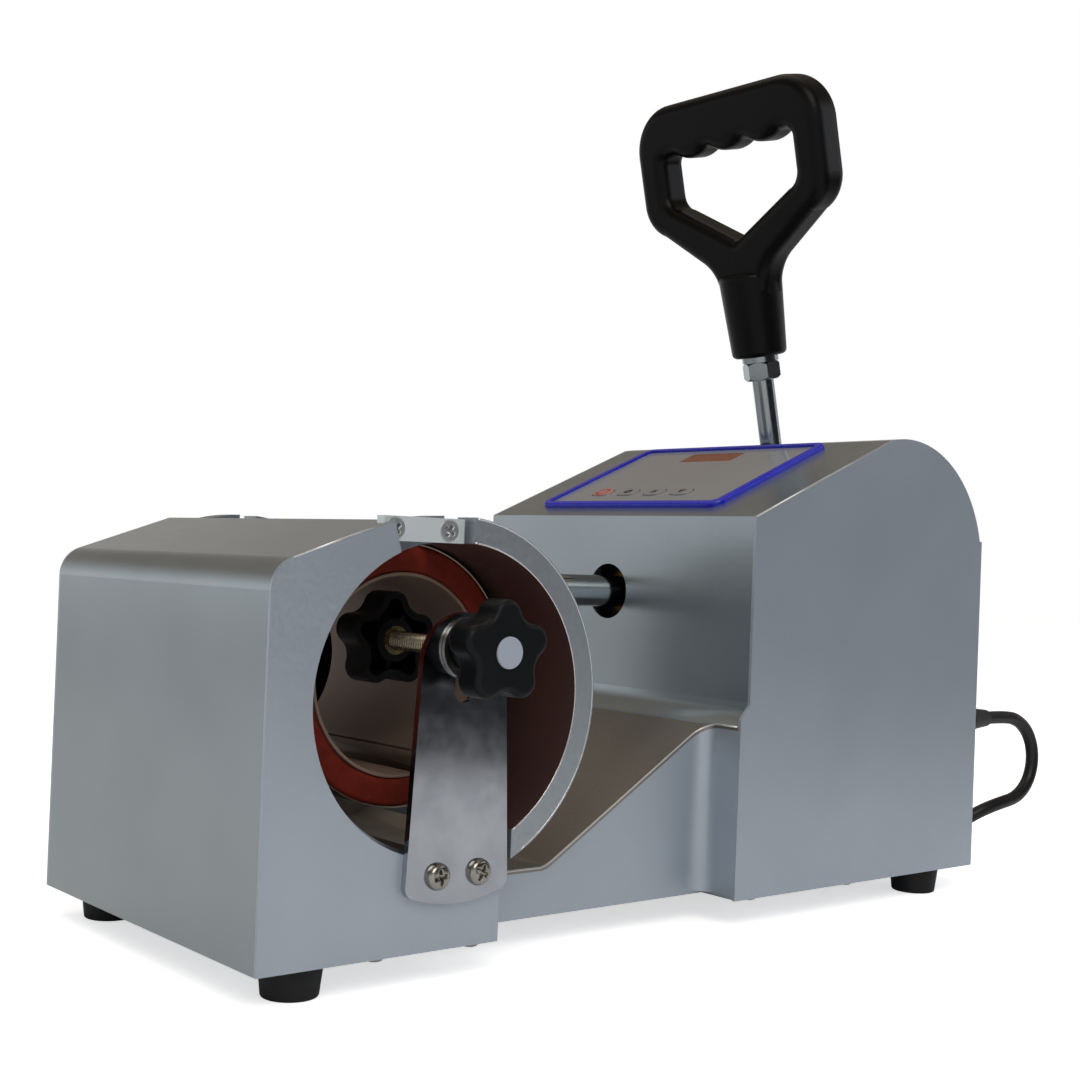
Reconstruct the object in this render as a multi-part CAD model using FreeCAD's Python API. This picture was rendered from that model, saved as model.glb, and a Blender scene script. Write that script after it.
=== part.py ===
import FreeCAD, Part
import math
import os

V = FreeCAD.Vector

# Horizontal mug heat press. The clamp housing stands on the left, the control housing on the right,
# and a low bridge joins them. Lengths are in millimetres. The machine is drawn from the clamp
# housing's lower left front corner: X runs to the control housing, Y to the side where the mug goes
# in, Z up from the underside of the sheet-metal base. DATUM then moves it to the part's own frame.

# Driving dimensions: sheet metal
SHEET = 1.5
FOOT_HEIGHT = 13.0
DATUM = V(218.4, 85.1, -FOOT_HEIGHT)

# Driving dimensions: clamp housing
CLAMP_WIDTH = 110.0
CLAMP_DEPTH = 186.6
CLAMP_WALL_TOP = 139.0
CLAMP_BEND = 13.0
CLAMP_SLOPE = math.radians(19.5)
CLAMP_RIDGE_X = 52.6
MOUTH_X = 81.45
MOUTH_Z = 97.9
MOUTH_R = 62.1

# Driving dimensions: bridge between the housings
BRIDGE_FRONT = 25.5
BRIDGE_BACK = 178.5
DECK_Z = 21.0
RAMP_FOOT_X = 155.2
RAMP_BEND = 10.0
SHELF_Z = 82.0
RAMP_ANGLE = math.radians(31.6)
SKIRT_BEND = 9.0

# Driving dimensions: control housing
CONTROL_FRONT = 3.0
CONTROL_BACK = 201.0
CONTROL_FOOT_X = 251.0
CONTROL_LEFT = 256.8
CONTROL_SLOPE_Z = 177.5
CONTROL_CREST_X = 354.5
CONTROL_CREST_Z = 220.3
CONTROL_ARC_X = 368.5
CONTROL_ARC_Z = 157.0
CONTROL_RIGHT = 433.3
BACK_COVER_TOP = 172.0
MID_Y = 104.0

# Driving dimensions: clamp jaws, shaft and heater
RING_X = 83.3
RING_Z = 98.0
RING_OUT = 71.6
RING_IN = 61.1
RING_SKIN = 65.5
FLANGE = 12.0
JAW_FRONT = -2.0
JAW_BACK = 182.0
JAW_TOP_X = 89.5
JAW_LOW_X = 113.5
SHAFT_R = 8.0
SHAFT_Z = 139.0
HEATER_X = 82.5
HEATER_Z = 104.5
HEATER_IN = 42.0
HEATER_OUT = 53.5
HEATER_FRONT = 35.0
HEATER_BACK = 152.0
HEATER_GAP_START = -80.0
HEATER_GAP_END = -56.0

# Driving dimensions: mug stop
STOP_X = 86.5
STOP_Z = 118.0
ROD_R = 4.0
BRACKET_THICK = 3.0
KNOB_R = 20.3
KNOB_LOBES = 5
STOP_DROP = 17.0

# Driving dimensions: lever
LEVER_X = 404.1
LEVER_Z = 105.9
LEVER_LEAN = 13.5
LEVER_CRANK = 34.0
LEVER_ROD_R = 6.0
HANDLE_FOOT = 170.0
HANDLE_TOP = 315.0
HANDLE_HALF = 67.0

# Driving dimensions: panel on the control housing's slope
PANEL_LOW = 11.0
PANEL_HIGH = 101.0
PANEL_NEAR = 39.0
PANEL_FAR = 173.0
BEZEL_WIDTH = 4.0
BEZEL_HEIGHT = 2.6
OVERLAY_THICK = 1.2
KEY_ROW = 31.0
KEY_PLACES = {"power": 141.0, "set": 121.0, "up": 101.0, "down": 81.0}

# Driving dimensions: mains lead
CORD_R = 3.5
GLAND_Y = 15.0
GLAND_Z = 76.0
FLOOR = -FOOT_HEIGHT
COIL_X = 492.0
COIL_Y = 116.0
COIL_MID_R = 38.5
COIL_PITCH = 7.6
COIL_HALF_TURNS = 5

parts = {}


def line(a, b):
    """One straight edge."""
    return Part.LineSegment(a, b).toShape()


def arc(a, m, b):
    """One arc edge through three points."""
    return Part.Arc(a, m, b).toShape()


def outline(place, start, *steps):
    """A closed face. A step is a point for a line, or a pair of points for an arc's middle and end."""
    edges = []
    here = start
    for step in list(steps) + [start]:
        if isinstance(step[0], tuple):
            edges.append(arc(place(*here), place(*step[0]), place(*step[1])))
            here = step[1]
        elif math.dist(here, step) > 1e-6:
            edges.append(line(place(*here), place(*step)))
            here = step
    return Part.Face(Part.Wire(edges))


def side(y):
    """Places points of an X-Z drawing at depth y."""
    return lambda x, z: V(x, y, z)


def plan(z):
    """Places points of an X-Y drawing at height z."""
    return lambda x, y: V(x, y, z)


def block(x0, x1, y0, y1, z0, z1):
    """A box between two corners."""
    return Part.makeBox(x1 - x0, y1 - y0, z1 - z0, V(x0, y0, z0))


def rod(radius, start, end):
    """A round bar between two points."""
    return Part.makeCylinder(radius, (end - start).Length, start, end - start)


def tube(outer, inner, start, end):
    """A round tube between two points."""
    return rod(outer, start, end).cut(rod(inner, start, end))


def rounded(shape, radius, choose):
    """Rounds the edges that choose picks."""
    edges = [edge for edge in shape.Edges if choose(edge)]
    return shape.makeFillet(radius, edges)


def along(edge, direction):
    """True for a straight edge along the direction."""
    if edge.Curve.TypeId != "Part::GeomLine":
        return False
    return abs(abs(edge.tangentAt(edge.FirstParameter).dot(direction)) - 1) < 1e-6


X_AXIS = V(1, 0, 0)
Y_AXIS = V(0, 1, 0)
Z_AXIS = V(0, 0, 1)


def polar(x, z, radius, degrees):
    """A point of an X-Z drawing at an angle from +X about a centre."""
    angle = math.radians(degrees)
    return (x + radius * math.cos(angle), z + radius * math.sin(angle))


def ring_sector(x, z, inner, outer, low, high, y0, y1):
    """A part of a round wall about a line along Y, between two angles."""
    middle = (low + high) / 2
    face = outline(side(y0), polar(x, z, outer, low),
                   (polar(x, z, outer, middle), polar(x, z, outer, high)),
                   polar(x, z, inner, high),
                   (polar(x, z, inner, middle), polar(x, z, inner, low)))
    return face.extrude(V(0, y1 - y0, 0))


def pan_heads(places, direction, radius, height):
    """Pan-head screws: a cheese head with a rounded rim on each place, standing out in direction."""
    heads = []
    for place in places:
        head = Part.makeCylinder(radius, height, place, direction)
        top = [e for e in head.Edges if abs((e.CenterOfMass - place).dot(direction) - height) < 1e-6]
        heads.append(head.makeFillet(height * 0.45, top))
    return Part.makeCompound(heads)


# Clamp housing

def clamp_outline(y, inset, ridge_x):
    """The housing's end view, drawn inset from its outer skin and closed at ridge_x."""
    radius = CLAMP_BEND - inset
    top = (CLAMP_BEND - radius * math.sin(CLAMP_SLOPE), CLAMP_WALL_TOP + radius * math.cos(CLAMP_SLOPE))
    middle = polar(CLAMP_BEND, CLAMP_WALL_TOP, radius, 180 - (90 - math.degrees(CLAMP_SLOPE)) / 2)
    ridge = (ridge_x, top[1] + (ridge_x - top[0]) * math.tan(CLAMP_SLOPE))
    return outline(side(y), (inset, 0), (inset, CLAMP_WALL_TOP), (middle, top), ridge, (ridge_x, 0))


def clamp_end_plate(y, notch):
    """An end plate with the round mouth that is open to the right, and a handle notch at the back."""
    shape = clamp_outline(y, 0, CLAMP_RIDGE_X).extrude(V(0, SHEET, 0))
    lower = block(CLAMP_RIDGE_X, CLAMP_WIDTH, y, y + SHEET, 0, MOUTH_Z)
    brow = outline(side(y), (CLAMP_RIDGE_X, 100), (CLAMP_RIDGE_X, 166.8), (56.2, 154.0), (56.2, 100))
    shape = shape.fuse([lower, brow.extrude(V(0, SHEET, 0))])
    shape = shape.cut(rod(MOUTH_R, V(MOUTH_X, y - 1, MOUTH_Z), V(MOUTH_X, y + SHEET + 1, MOUTH_Z)))
    shape = shape.cut(block(MOUTH_X, CLAMP_WIDTH + 1, y - 1, y + SHEET + 1, 50, MOUTH_Z + 1))
    if notch:
        shape = shape.cut(block(76, CLAMP_WIDTH + 1, y - 1, y + SHEET + 1, DECK_Z + 1, 60))
    return shape.removeSplitter()


STRIP_FRONT = SHEET + 0.2
STRIP_THICK = 5.0
STRIP_LOW = 158.8
STRIP_HIGH = 168.4
STRIP_LEFT = 48.8
STRIP_RIGHT = 88.0
STRIP_PLAY = 0.3
parts["clamp_front_plate"] = clamp_end_plate(0, False)
parts["clamp_back_plate"] = clamp_end_plate(CLAMP_DEPTH - SHEET, True)
skin = clamp_outline(SHEET, 0, CLAMP_RIDGE_X).extrude(V(0, CLAMP_DEPTH - 2 * SHEET, 0))
hollow = clamp_outline(0, SHEET, CLAMP_RIDGE_X + 5).extrude(V(0, CLAMP_DEPTH, 0))
strip_notch = block(STRIP_LEFT - STRIP_PLAY, CLAMP_RIDGE_X + 1, 0, STRIP_FRONT + STRIP_THICK + STRIP_PLAY,
                    STRIP_LOW, STRIP_HIGH)
parts["clamp_cover"] = skin.cut(hollow).cut(strip_notch)

# Bridge: deck sheet over two skirts

def deck_profile(offset):
    """Points of the deck's upper line, moved down square to the sheet by offset."""
    slope = math.tan(RAMP_ANGLE)
    half = math.tan(RAMP_ANGLE / 2)
    flat_z = DECK_Z - offset
    shelf_z = SHELF_Z - offset
    low_x = RAMP_FOOT_X + offset * half
    high_x = low_x + (shelf_z - flat_z) / slope
    low_r = RAMP_BEND + offset
    high_r = RAMP_BEND - offset
    points = [(low_x - low_r * half, flat_z)]
    centre = (low_x - low_r * half, flat_z + low_r)
    points.append((polar(*centre, low_r, -90 + math.degrees(RAMP_ANGLE) / 2),
                   polar(*centre, low_r, -90 + math.degrees(RAMP_ANGLE))))
    centre = (high_x + high_r * half, shelf_z - high_r)
    points.append(polar(*centre, high_r, 90 + math.degrees(RAMP_ANGLE)))
    points.append((polar(*centre, high_r, 90 + math.degrees(RAMP_ANGLE) / 2), (centre[0], shelf_z)))
    return points


DECK_LEFT = SHEET
under = deck_profile(SHEET)
over = deck_profile(0)
DECK_RIGHT = CONTROL_LEFT + SHEET
deck_area = outline(side(BRIDGE_FRONT), (DECK_LEFT, 0), (DECK_LEFT, over[0][1]), *over,
                    (DECK_RIGHT, SHELF_Z), (DECK_RIGHT, 0))
under_area = outline(side(BRIDGE_FRONT), (DECK_LEFT, 0), (DECK_LEFT, under[0][1]), *under,
                     (DECK_RIGHT, SHELF_Z - SHEET), (DECK_RIGHT, 0))


def raise_area(area, y0, y1):
    """The area under a deck line, carried from y0 to y1."""
    moved = area.copy()
    moved.translate(V(0, y0 - BRIDGE_FRONT, 0))
    return moved.extrude(V(0, y1 - y0, 0))


def skirt_path(front_side, inset):
    """Plan of a skirt's outer face, moved inwards by inset, closed round the bridge's middle."""
    sign = 1 if front_side else -1
    face_y = BRIDGE_FRONT if front_side else BRIDGE_BACK
    edge_y = CONTROL_FRONT if front_side else CONTROL_BACK
    bend_x = CONTROL_FOOT_X - SKIRT_BEND
    radius = SKIRT_BEND + inset
    low = face_y + sign * inset
    diagonal = radius * math.sqrt(0.5)
    centre_y = face_y - sign * SKIRT_BEND
    return outline(plan(0), (CLAMP_WIDTH - 40, low), (bend_x, low),
                   ((bend_x + diagonal, centre_y + sign * diagonal), (bend_x + radius, centre_y)),
                   (bend_x + radius, edge_y + sign * SHEET), (CONTROL_LEFT + 20, edge_y + sign * SHEET),
                   (CONTROL_LEFT + 20, MID_Y), (CLAMP_WIDTH - 40, MID_Y))


def skirt(front_side):
    """A skirt: the bent wall below the deck's edge on one side of the bridge."""
    wall = skirt_path(front_side, 0).extrude(V(0, 0, 120))
    wall = wall.cut(skirt_path(front_side, SHEET).extrude(V(0, 0, 120)))
    wall = wall.common(raise_area(under_area, 0, CONTROL_BACK + 10))
    return wall.common(block(CLAMP_WIDTH - 35, CONTROL_LEFT, 0, CONTROL_BACK, SHEET, 120))


parts["front_skirt"] = skirt(True)
parts["back_skirt"] = skirt(False)
deck = raise_area(deck_area, 0, CONTROL_BACK + 10)
deck = deck.cut(raise_area(under_area, -1, CONTROL_BACK + 20))
deck_plan = skirt_path(True, 0).extrude(V(0, 0, 120))
deck_plan = deck_plan.fuse([skirt_path(False, 0).extrude(V(0, 0, 120)),
                            block(DECK_LEFT, CLAMP_WIDTH, BRIDGE_FRONT, BRIDGE_BACK, 0, 120)])
parts["bridge_deck"] = deck.common(deck_plan).common(block(0, DECK_RIGHT, 0, 300, 0, 120)).removeSplitter()
base = block(SHEET, CLAMP_WIDTH, SHEET, CLAMP_DEPTH - SHEET, 0, SHEET)
base = base.fuse([block(CLAMP_WIDTH, CONTROL_FOOT_X + SHEET, BRIDGE_FRONT, BRIDGE_BACK, 0, SHEET),
                  block(CONTROL_FOOT_X + SHEET, CONTROL_RIGHT - SHEET, CONTROL_FRONT + SHEET,
                        CONTROL_BACK - SHEET, 0, SHEET)]).removeSplitter()
parts["base_plate"] = base

# Control housing

SLOPE_ANGLE = math.atan2(CONTROL_CREST_Z - CONTROL_SLOPE_Z, CONTROL_CREST_X - CONTROL_LEFT)
ARC_R = CONTROL_RIGHT - CONTROL_ARC_X
CREST_ANGLE = math.degrees(math.atan2(CONTROL_CREST_Z - CONTROL_ARC_Z, CONTROL_CREST_X - CONTROL_ARC_X))


def control_outline(y):
    """The control housing's end view: upright left face, sloped panel, rounded crest, upright back."""
    crest = polar(CONTROL_ARC_X, CONTROL_ARC_Z, ARC_R, CREST_ANGLE)
    return outline(side(y), (CONTROL_FOOT_X, 0), (CONTROL_FOOT_X, 83.4), (255.6, 88.4),
                   (CONTROL_LEFT, 90.0), (CONTROL_LEFT, CONTROL_SLOPE_Z), crest,
                   (polar(CONTROL_ARC_X, CONTROL_ARC_Z, ARC_R, CREST_ANGLE / 2),
                    (CONTROL_RIGHT, CONTROL_ARC_Z)), (CONTROL_RIGHT, 0))


def control_inner(y):
    """The same view inside the cover's sheet."""
    radius = ARC_R - SHEET
    shift = SHEET / math.cos(SLOPE_ANGLE)
    left = CONTROL_LEFT + SHEET
    knee = CONTROL_SLOPE_Z - shift + SHEET * math.tan(SLOPE_ANGLE)
    crest = polar(CONTROL_ARC_X, CONTROL_ARC_Z, radius, CREST_ANGLE + 1.0)
    return outline(side(y), (left, -1), (left, knee), crest,
                   (polar(CONTROL_ARC_X, CONTROL_ARC_Z, radius, CREST_ANGLE / 2),
                    (CONTROL_RIGHT - SHEET, CONTROL_ARC_Z)), (CONTROL_RIGHT - SHEET, -1))


parts["control_front_plate"] = control_outline(CONTROL_FRONT).extrude(V(0, SHEET, 0))
parts["control_back_plate"] = control_outline(CONTROL_BACK - SHEET).extrude(V(0, SHEET, 0))
cover = control_outline(CONTROL_FRONT + SHEET).extrude(V(0, CONTROL_BACK - CONTROL_FRONT - 2 * SHEET, 0))
cover = cover.cut(control_inner(0).extrude(V(0, 300, 0)))
COVE_R = 14.0
ramp_top = RAMP_FOOT_X + (SHELF_Z - DECK_Z) / math.tan(RAMP_ANGLE)
cove_x = CONTROL_LEFT - COVE_R
cove_z = SHELF_Z + (CONTROL_LEFT - ramp_top) * math.tan(RAMP_ANGLE)
cove_z += COVE_R / math.tan((math.pi / 2 + RAMP_ANGLE) / 2)
cove_low = -90 + math.degrees(RAMP_ANGLE)
cove_start = polar(cove_x, cove_z, COVE_R, cove_low)
cove = outline(side(CONTROL_FRONT + SHEET), cove_start,
               (polar(cove_x, cove_z, COVE_R, cove_low / 2), (CONTROL_LEFT, cove_z)),
               (CONTROL_LEFT + SHEET, cove_z), (CONTROL_LEFT + SHEET, cove_start[1]))
cove = cove.extrude(V(0, CONTROL_BACK - CONTROL_FRONT - 2 * SHEET, 0)).common(deck_plan)
cover = cover.cut(block(CONTROL_FOOT_X - 1, CONTROL_LEFT, 0, 300, -1, cove_z))
cover = cover.fuse(cove).cut(raise_area(deck_area, 0, 300)).removeSplitter()
SHAFT_HOLE_R = 14.0
cover = cover.cut(rod(SHAFT_HOLE_R, V(CONTROL_FOOT_X - 5, MID_Y, SHAFT_Z),
                      V(CONTROL_LEFT + 5, MID_Y, SHAFT_Z)))
SLOT_HALF = 9.0
slot = block(365, 429, MID_Y - SLOT_HALF, MID_Y + SLOT_HALF, 176, 240)
cover = cover.cut(rounded(slot, 8.0, lambda e: along(e, Z_AXIS)))
parts["control_cover"] = cover

BACK_X = CONTROL_RIGHT
back_cover = block(BACK_X, BACK_X + SHEET, CONTROL_FRONT + 1, CONTROL_BACK - 1, 3, BACK_COVER_TOP)
gland_hole = rod(CORD_R + 2.5, V(BACK_X - 5, GLAND_Y, GLAND_Z), V(BACK_X + 5, GLAND_Y, GLAND_Z))
back_cover = back_cover.cut(gland_hole)
arc_skin = rod(ARC_R, V(CONTROL_ARC_X, 0, CONTROL_ARC_Z), V(CONTROL_ARC_X, 300, CONTROL_ARC_Z))
parts["back_cover"] = back_cover.cut(arc_skin)
parts["control_cover"] = parts["control_cover"].cut(gland_hole)
cover_corners = [V(BACK_X + SHEET, y, z) for y in (12, 192) for z in (12, 150)]
cover_heads = pan_heads(cover_corners, X_AXIS, 3.5, 2.0)

# Feet and base screws

FOOT_PLACES = [(24, 16), (22, 168), (404, 18), (404, 186)]
FOOT_LOW_R = 11.0
FOOT_HIGH_R = 12.6
feet = []
for x, y in FOOT_PLACES:
    cone = Part.makeCone(FOOT_LOW_R, FOOT_HIGH_R, FOOT_HEIGHT, V(x, y, -FOOT_HEIGHT), Z_AXIS)
    rim = [e for e in cone.Edges if e.BoundBox.ZMax < -FOOT_HEIGHT + 0.1 and e.Length > 1]
    feet.append(cone.makeFillet(1.2, rim))
parts["rubber_feet"] = Part.makeCompound(feet)
base_screws = [(8, 97), (56, 8), (102, 8), (56, 178), (270, 12), (340, 12), (270, 192), (340, 192),
               (425, 102)]
base_heads = pan_heads([V(x, y, 0) for x, y in base_screws], V(0, 0, -1), 4.0, 2.6)
parts["housing_screws"] = Part.makeCompound(base_heads.Solids + cover_heads.Solids)

# Clamp: fixed half shell, moving jaw, top strip

def half_shell(low, high, y0, y1, cut_box):
    """A cast half shell: a thin round wall with a thick flange at each end."""
    wall = ring_sector(RING_X, RING_Z, RING_IN, RING_SKIN, low, high, y0, y1)
    first = ring_sector(RING_X, RING_Z, RING_IN, RING_OUT, low, high, y0, y0 + FLANGE)
    last = ring_sector(RING_X, RING_Z, RING_IN, RING_OUT, low, high, y1 - FLANGE, y1)
    return wall.fuse([first, last]).common(cut_box).removeSplitter()


shell = half_shell(80, 270, STRIP_FRONT + STRIP_THICK, JAW_BACK, block(0, 80.5, -50, 300, 0, 300))
parts["fixed_shell"] = shell
strip = block(STRIP_LEFT, STRIP_RIGHT, STRIP_FRONT, STRIP_FRONT + STRIP_THICK, STRIP_LOW, STRIP_HIGH)
strip_corner = [e for e in strip.Edges if along(e, Z_AXIS) and e.BoundBox.XMin > STRIP_RIGHT - 1
                and e.BoundBox.YMax < STRIP_FRONT + 0.1]
strip = strip.makeChamfer(1.2, strip_corner)
STRIP_SCREWS = (54.0, 79.6)
HEAD_R = 4.6
HEAD_DEEP = 2.8
strip_heads = []
for x in STRIP_SCREWS:
    seat = V(x, STRIP_FRONT, (STRIP_LOW + STRIP_HIGH) / 2)
    head = Part.makeCone(HEAD_R, 2.2, HEAD_DEEP, seat, Y_AXIS)
    strip = strip.cut(head)
    strip_heads.append(head)
parts["top_strip"] = strip
parts["strip_screws"] = Part.makeCompound(strip_heads)

jaw_box = block(JAW_TOP_X, 300, -50, 300, RING_Z, 300).fuse(block(JAW_LOW_X, 300, -50, 300, 0, RING_Z))
jaw = half_shell(-89, 89, JAW_FRONT, JAW_BACK, jaw_box)
SHAFT_START = 139.0
boss = rod(14, V(RING_X + 40, MID_Y, SHAFT_Z), V(SHAFT_START + 16, MID_Y, SHAFT_Z))
boss = boss.cut(rod(RING_SKIN - 0.5, V(RING_X, 0, RING_Z), V(RING_X, 300, RING_Z)))
boss = boss.cut(rod(SHAFT_R, V(SHAFT_START, MID_Y, SHAFT_Z), V(SHAFT_START + 30, MID_Y, SHAFT_Z)))
parts["jaw_shell"] = jaw.fuse(boss).removeSplitter()

# Push shaft with its fork, guide block, bushes and stand

FORK_HALF = 12.0
FORK_GAP = 5.4
FORK_START = 372.0
PIN_X = LEVER_X - LEVER_CRANK * math.sin(math.radians(LEVER_LEAN))
PIN_Z = LEVER_Z + LEVER_CRANK * math.cos(math.radians(LEVER_LEAN))
PIN_R = 4.0
parts["push_shaft"] = rod(SHAFT_R, V(SHAFT_START, MID_Y, SHAFT_Z), V(FORK_START, MID_Y, SHAFT_Z))
fork = block(FORK_START, PIN_X + 10, MID_Y - FORK_HALF, MID_Y + FORK_HALF,
             SHAFT_Z - FORK_HALF, SHAFT_Z + FORK_HALF)
fork = fork.cut(block(PIN_X - 13, PIN_X + 20, MID_Y - FORK_GAP, MID_Y + FORK_GAP, 0, 300))
pin_slot = block(PIN_X - PIN_R - 0.3, PIN_X + PIN_R + 0.3, 0, 300, PIN_Z - 5.5, PIN_Z + 6.5)
fork = fork.cut(rounded(pin_slot, PIN_R, lambda e: along(e, Y_AXIS)))
parts["shaft_fork"] = fork
GUIDE_START = 268.0
GUIDE_END = 340.0
BUSH_R = 11.0
guide = block(GUIDE_START, GUIDE_END, MID_Y - 18, MID_Y + 18, SHAFT_Z - 17, SHAFT_Z + 17)
guide = guide.cut(rod(BUSH_R, V(GUIDE_START, MID_Y, SHAFT_Z), V(GUIDE_END, MID_Y, SHAFT_Z)))
parts["guide_block"] = rounded(guide, 4.0, lambda e: along(e, X_AXIS) and e.BoundBox.ZMin > SHAFT_Z)
bushes = []
for x in (GUIDE_START, GUIDE_END - 20):
    bushes.append(tube(BUSH_R, SHAFT_R + 0.05, V(x, MID_Y, SHAFT_Z), V(x + 20, MID_Y, SHAFT_Z)))
parts["shaft_bushes"] = Part.makeCompound(bushes)
stand = block(GUIDE_START, GUIDE_END, MID_Y - 30, MID_Y + 30, SHEET, SHAFT_Z - 17)
stand = stand.cut(block(GUIDE_START + 4, GUIDE_END - 4, 0, 300, SHEET + 4, SHAFT_Z - 21))
parts["guide_stand"] = stand

# Lever pivot

CHEEK_GAP = 5.6
CHEEK = 5.0
pivot_bracket = None
for sign in (-1, 1):
    y0 = MID_Y + sign * CHEEK_GAP
    y1 = y0 + sign * CHEEK
    cheek = block(LEVER_X - 22, LEVER_X + 20, min(y0, y1), max(y0, y1), SHEET, LEVER_Z)
    cheek = cheek.fuse(rod(14, V(LEVER_X, min(y0, y1), LEVER_Z), V(LEVER_X, max(y0, y1), LEVER_Z)))
    y2 = y0 + sign * 22
    foot_plate = block(LEVER_X - 22, LEVER_X + 20, min(y0, y2), max(y0, y2), SHEET, SHEET + 4)
    cheek = cheek.fuse(foot_plate)
    pivot_bracket = cheek if pivot_bracket is None else pivot_bracket.fuse(cheek)
PIVOT_R = 5.0
pivot_hole = rod(PIVOT_R, V(LEVER_X, 0, LEVER_Z), V(LEVER_X, 300, LEVER_Z))
pivot_bracket = pivot_bracket.fuse(block(LEVER_X - 22, LEVER_X + 20, MID_Y - CHEEK_GAP, MID_Y + CHEEK_GAP,
                                         SHEET, SHEET + 4))
parts["pivot_bracket"] = pivot_bracket.cut(pivot_hole).removeSplitter()
pin = rod(PIVOT_R, V(LEVER_X, MID_Y - 13, LEVER_Z), V(LEVER_X, MID_Y + 13, LEVER_Z))
pin_head = rod(8, V(LEVER_X, MID_Y - 16, LEVER_Z), V(LEVER_X, MID_Y - 11, LEVER_Z))
parts["pivot_pin"] = pin.fuse(pin_head).removeSplitter()

# Lever, drawn upright over its pivot and then leaned

def lean(shape):
    """Moves a piece drawn upright on the pivot to the lever's resting lean."""
    shape = shape.copy()
    shape.rotate(V(0, 0, 0), Y_AXIS, -LEVER_LEAN)
    shape.translate(V(LEVER_X, MID_Y, LEVER_Z))
    return shape


ARM_HALF = 5.0
ARM_TOP = 86.0
ARM_EYE_R = 10.0
ARM_SOCKET_LOW = 62.0
ARM_SOCKET_R = 9.5
ROD_SEAT = 66.0
arm = block(-8, 8, -ARM_HALF, ARM_HALF, 0, ARM_TOP)
arm = arm.fuse([rod(ARM_EYE_R, V(0, -ARM_HALF, 0), V(0, ARM_HALF, 0)),
                rod(ARM_SOCKET_R, V(0, 0, ARM_SOCKET_LOW), V(0, 0, ARM_TOP))])
arm = arm.cut(rod(PIVOT_R + 0.05, V(0, -20, 0), V(0, 20, 0)))
arm = arm.cut(rod(PIN_R, V(0, -20, LEVER_CRANK), V(0, 20, LEVER_CRANK)))
arm = arm.cut(rod(LEVER_ROD_R, V(0, 0, ROD_SEAT), V(0, 0, ARM_TOP + 1)))
parts["lever_arm"] = lean(arm.removeSplitter())
parts["crank_pin"] = lean(rod(PIN_R, V(0, -FORK_HALF, LEVER_CRANK), V(0, FORK_HALF, LEVER_CRANK)))
ROD_IN_HANDLE = 28.0
parts["lever_rod"] = lean(rod(LEVER_ROD_R, V(0, 0, ROD_SEAT), V(0, 0, HANDLE_FOOT + ROD_IN_HANDLE)))
NUT_AF = 18.0
NUT_LOW = HANDLE_FOOT - 13.0
NUT_HIGH = HANDLE_FOOT - 3.0


def hexagon(across, low, high):
    """A hexagonal prism standing on Z, its corners turned off at both ends as on a nut."""
    radius = across / math.sqrt(3)
    corners = [V(*polar(0, 0, radius, angle), low) for angle in range(0, 360, 60)]
    prism = Part.Face(Part.makePolygon(corners + corners[:1])).extrude(V(0, 0, high - low))
    turned = rod(radius, V(0, 0, low), V(0, 0, high))
    corners_off = (radius - across / 2) * 1.1
    turned = turned.makeChamfer(corners_off, [e for e in turned.Edges if len(e.Vertexes) == 1])
    return prism.common(turned)


nut_hole = rod(LEVER_ROD_R, V(0, 0, NUT_LOW - 1), V(0, 0, NUT_HIGH + 1))
nut = hexagon(NUT_AF, NUT_LOW, NUT_HIGH).cut(nut_hole)
collar = tube(10.0, LEVER_ROD_R, V(0, 0, NUT_HIGH), V(0, 0, HANDLE_FOOT))
parts["lever_nut"] = lean(nut.fuse(collar).removeSplitter())

# D-shaped handle, drawn upright: Y across the grip, Z along the lever

def upright(x):
    """Places points of a Y-Z drawing at x."""
    return lambda y, z: V(x, y, z)


def mirrored(steps):
    """The same outline steps on the other side of the middle, in reverse order."""
    ends = [s[1] if isinstance(s[0], tuple) else s for s in steps]
    back = []
    for index in range(len(steps) - 1, 0, -1):
        before = ends[index - 1]
        target = (-before[0], before[1])
        if isinstance(steps[index][0], tuple):
            middle = steps[index][0]
            back.append(((-middle[0], middle[1]), target))
        else:
            back.append(target)
    return back


def symmetric_face(x, half):
    """A face whose right half is given from the lower middle to the upper middle."""
    last = half[-1][1] if isinstance(half[-1][0], tuple) else half[-1]
    steps = list(half[1:]) + [(-last[0], last[1])] + mirrored(half)
    return outline(upright(x), half[0], *steps)


NECK_LOW_R = 15.0
NECK_HIGH_R = 17.5
NECK_HIGH = HANDLE_FOOT + 46.0
TOP_BEND = 26.0
SIDE_HIGH = HANDLE_TOP - TOP_BEND
DIAGONAL = math.sqrt(0.5)
outer_half = [(16.5, HANDLE_FOOT + 34), ((19.5, HANDLE_FOOT + 46), (28.0, HANDLE_FOOT + 55)),
              (54.0, 243.0), ((63.5, 250.5), (HANDLE_HALF, 261.0)), (HANDLE_HALF, SIDE_HIGH),
              ((HANDLE_HALF - TOP_BEND * (1 - DIAGONAL), SIDE_HIGH + TOP_BEND * DIAGONAL),
               (HANDLE_HALF - TOP_BEND, HANDLE_TOP))]
HANDLE_HALF_THICK = 10.5
HANDLE_ROUND = 6.5
body = symmetric_face(-HANDLE_HALF_THICK, outer_half).extrude(V(2 * HANDLE_HALF_THICK, 0, 0))

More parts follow.
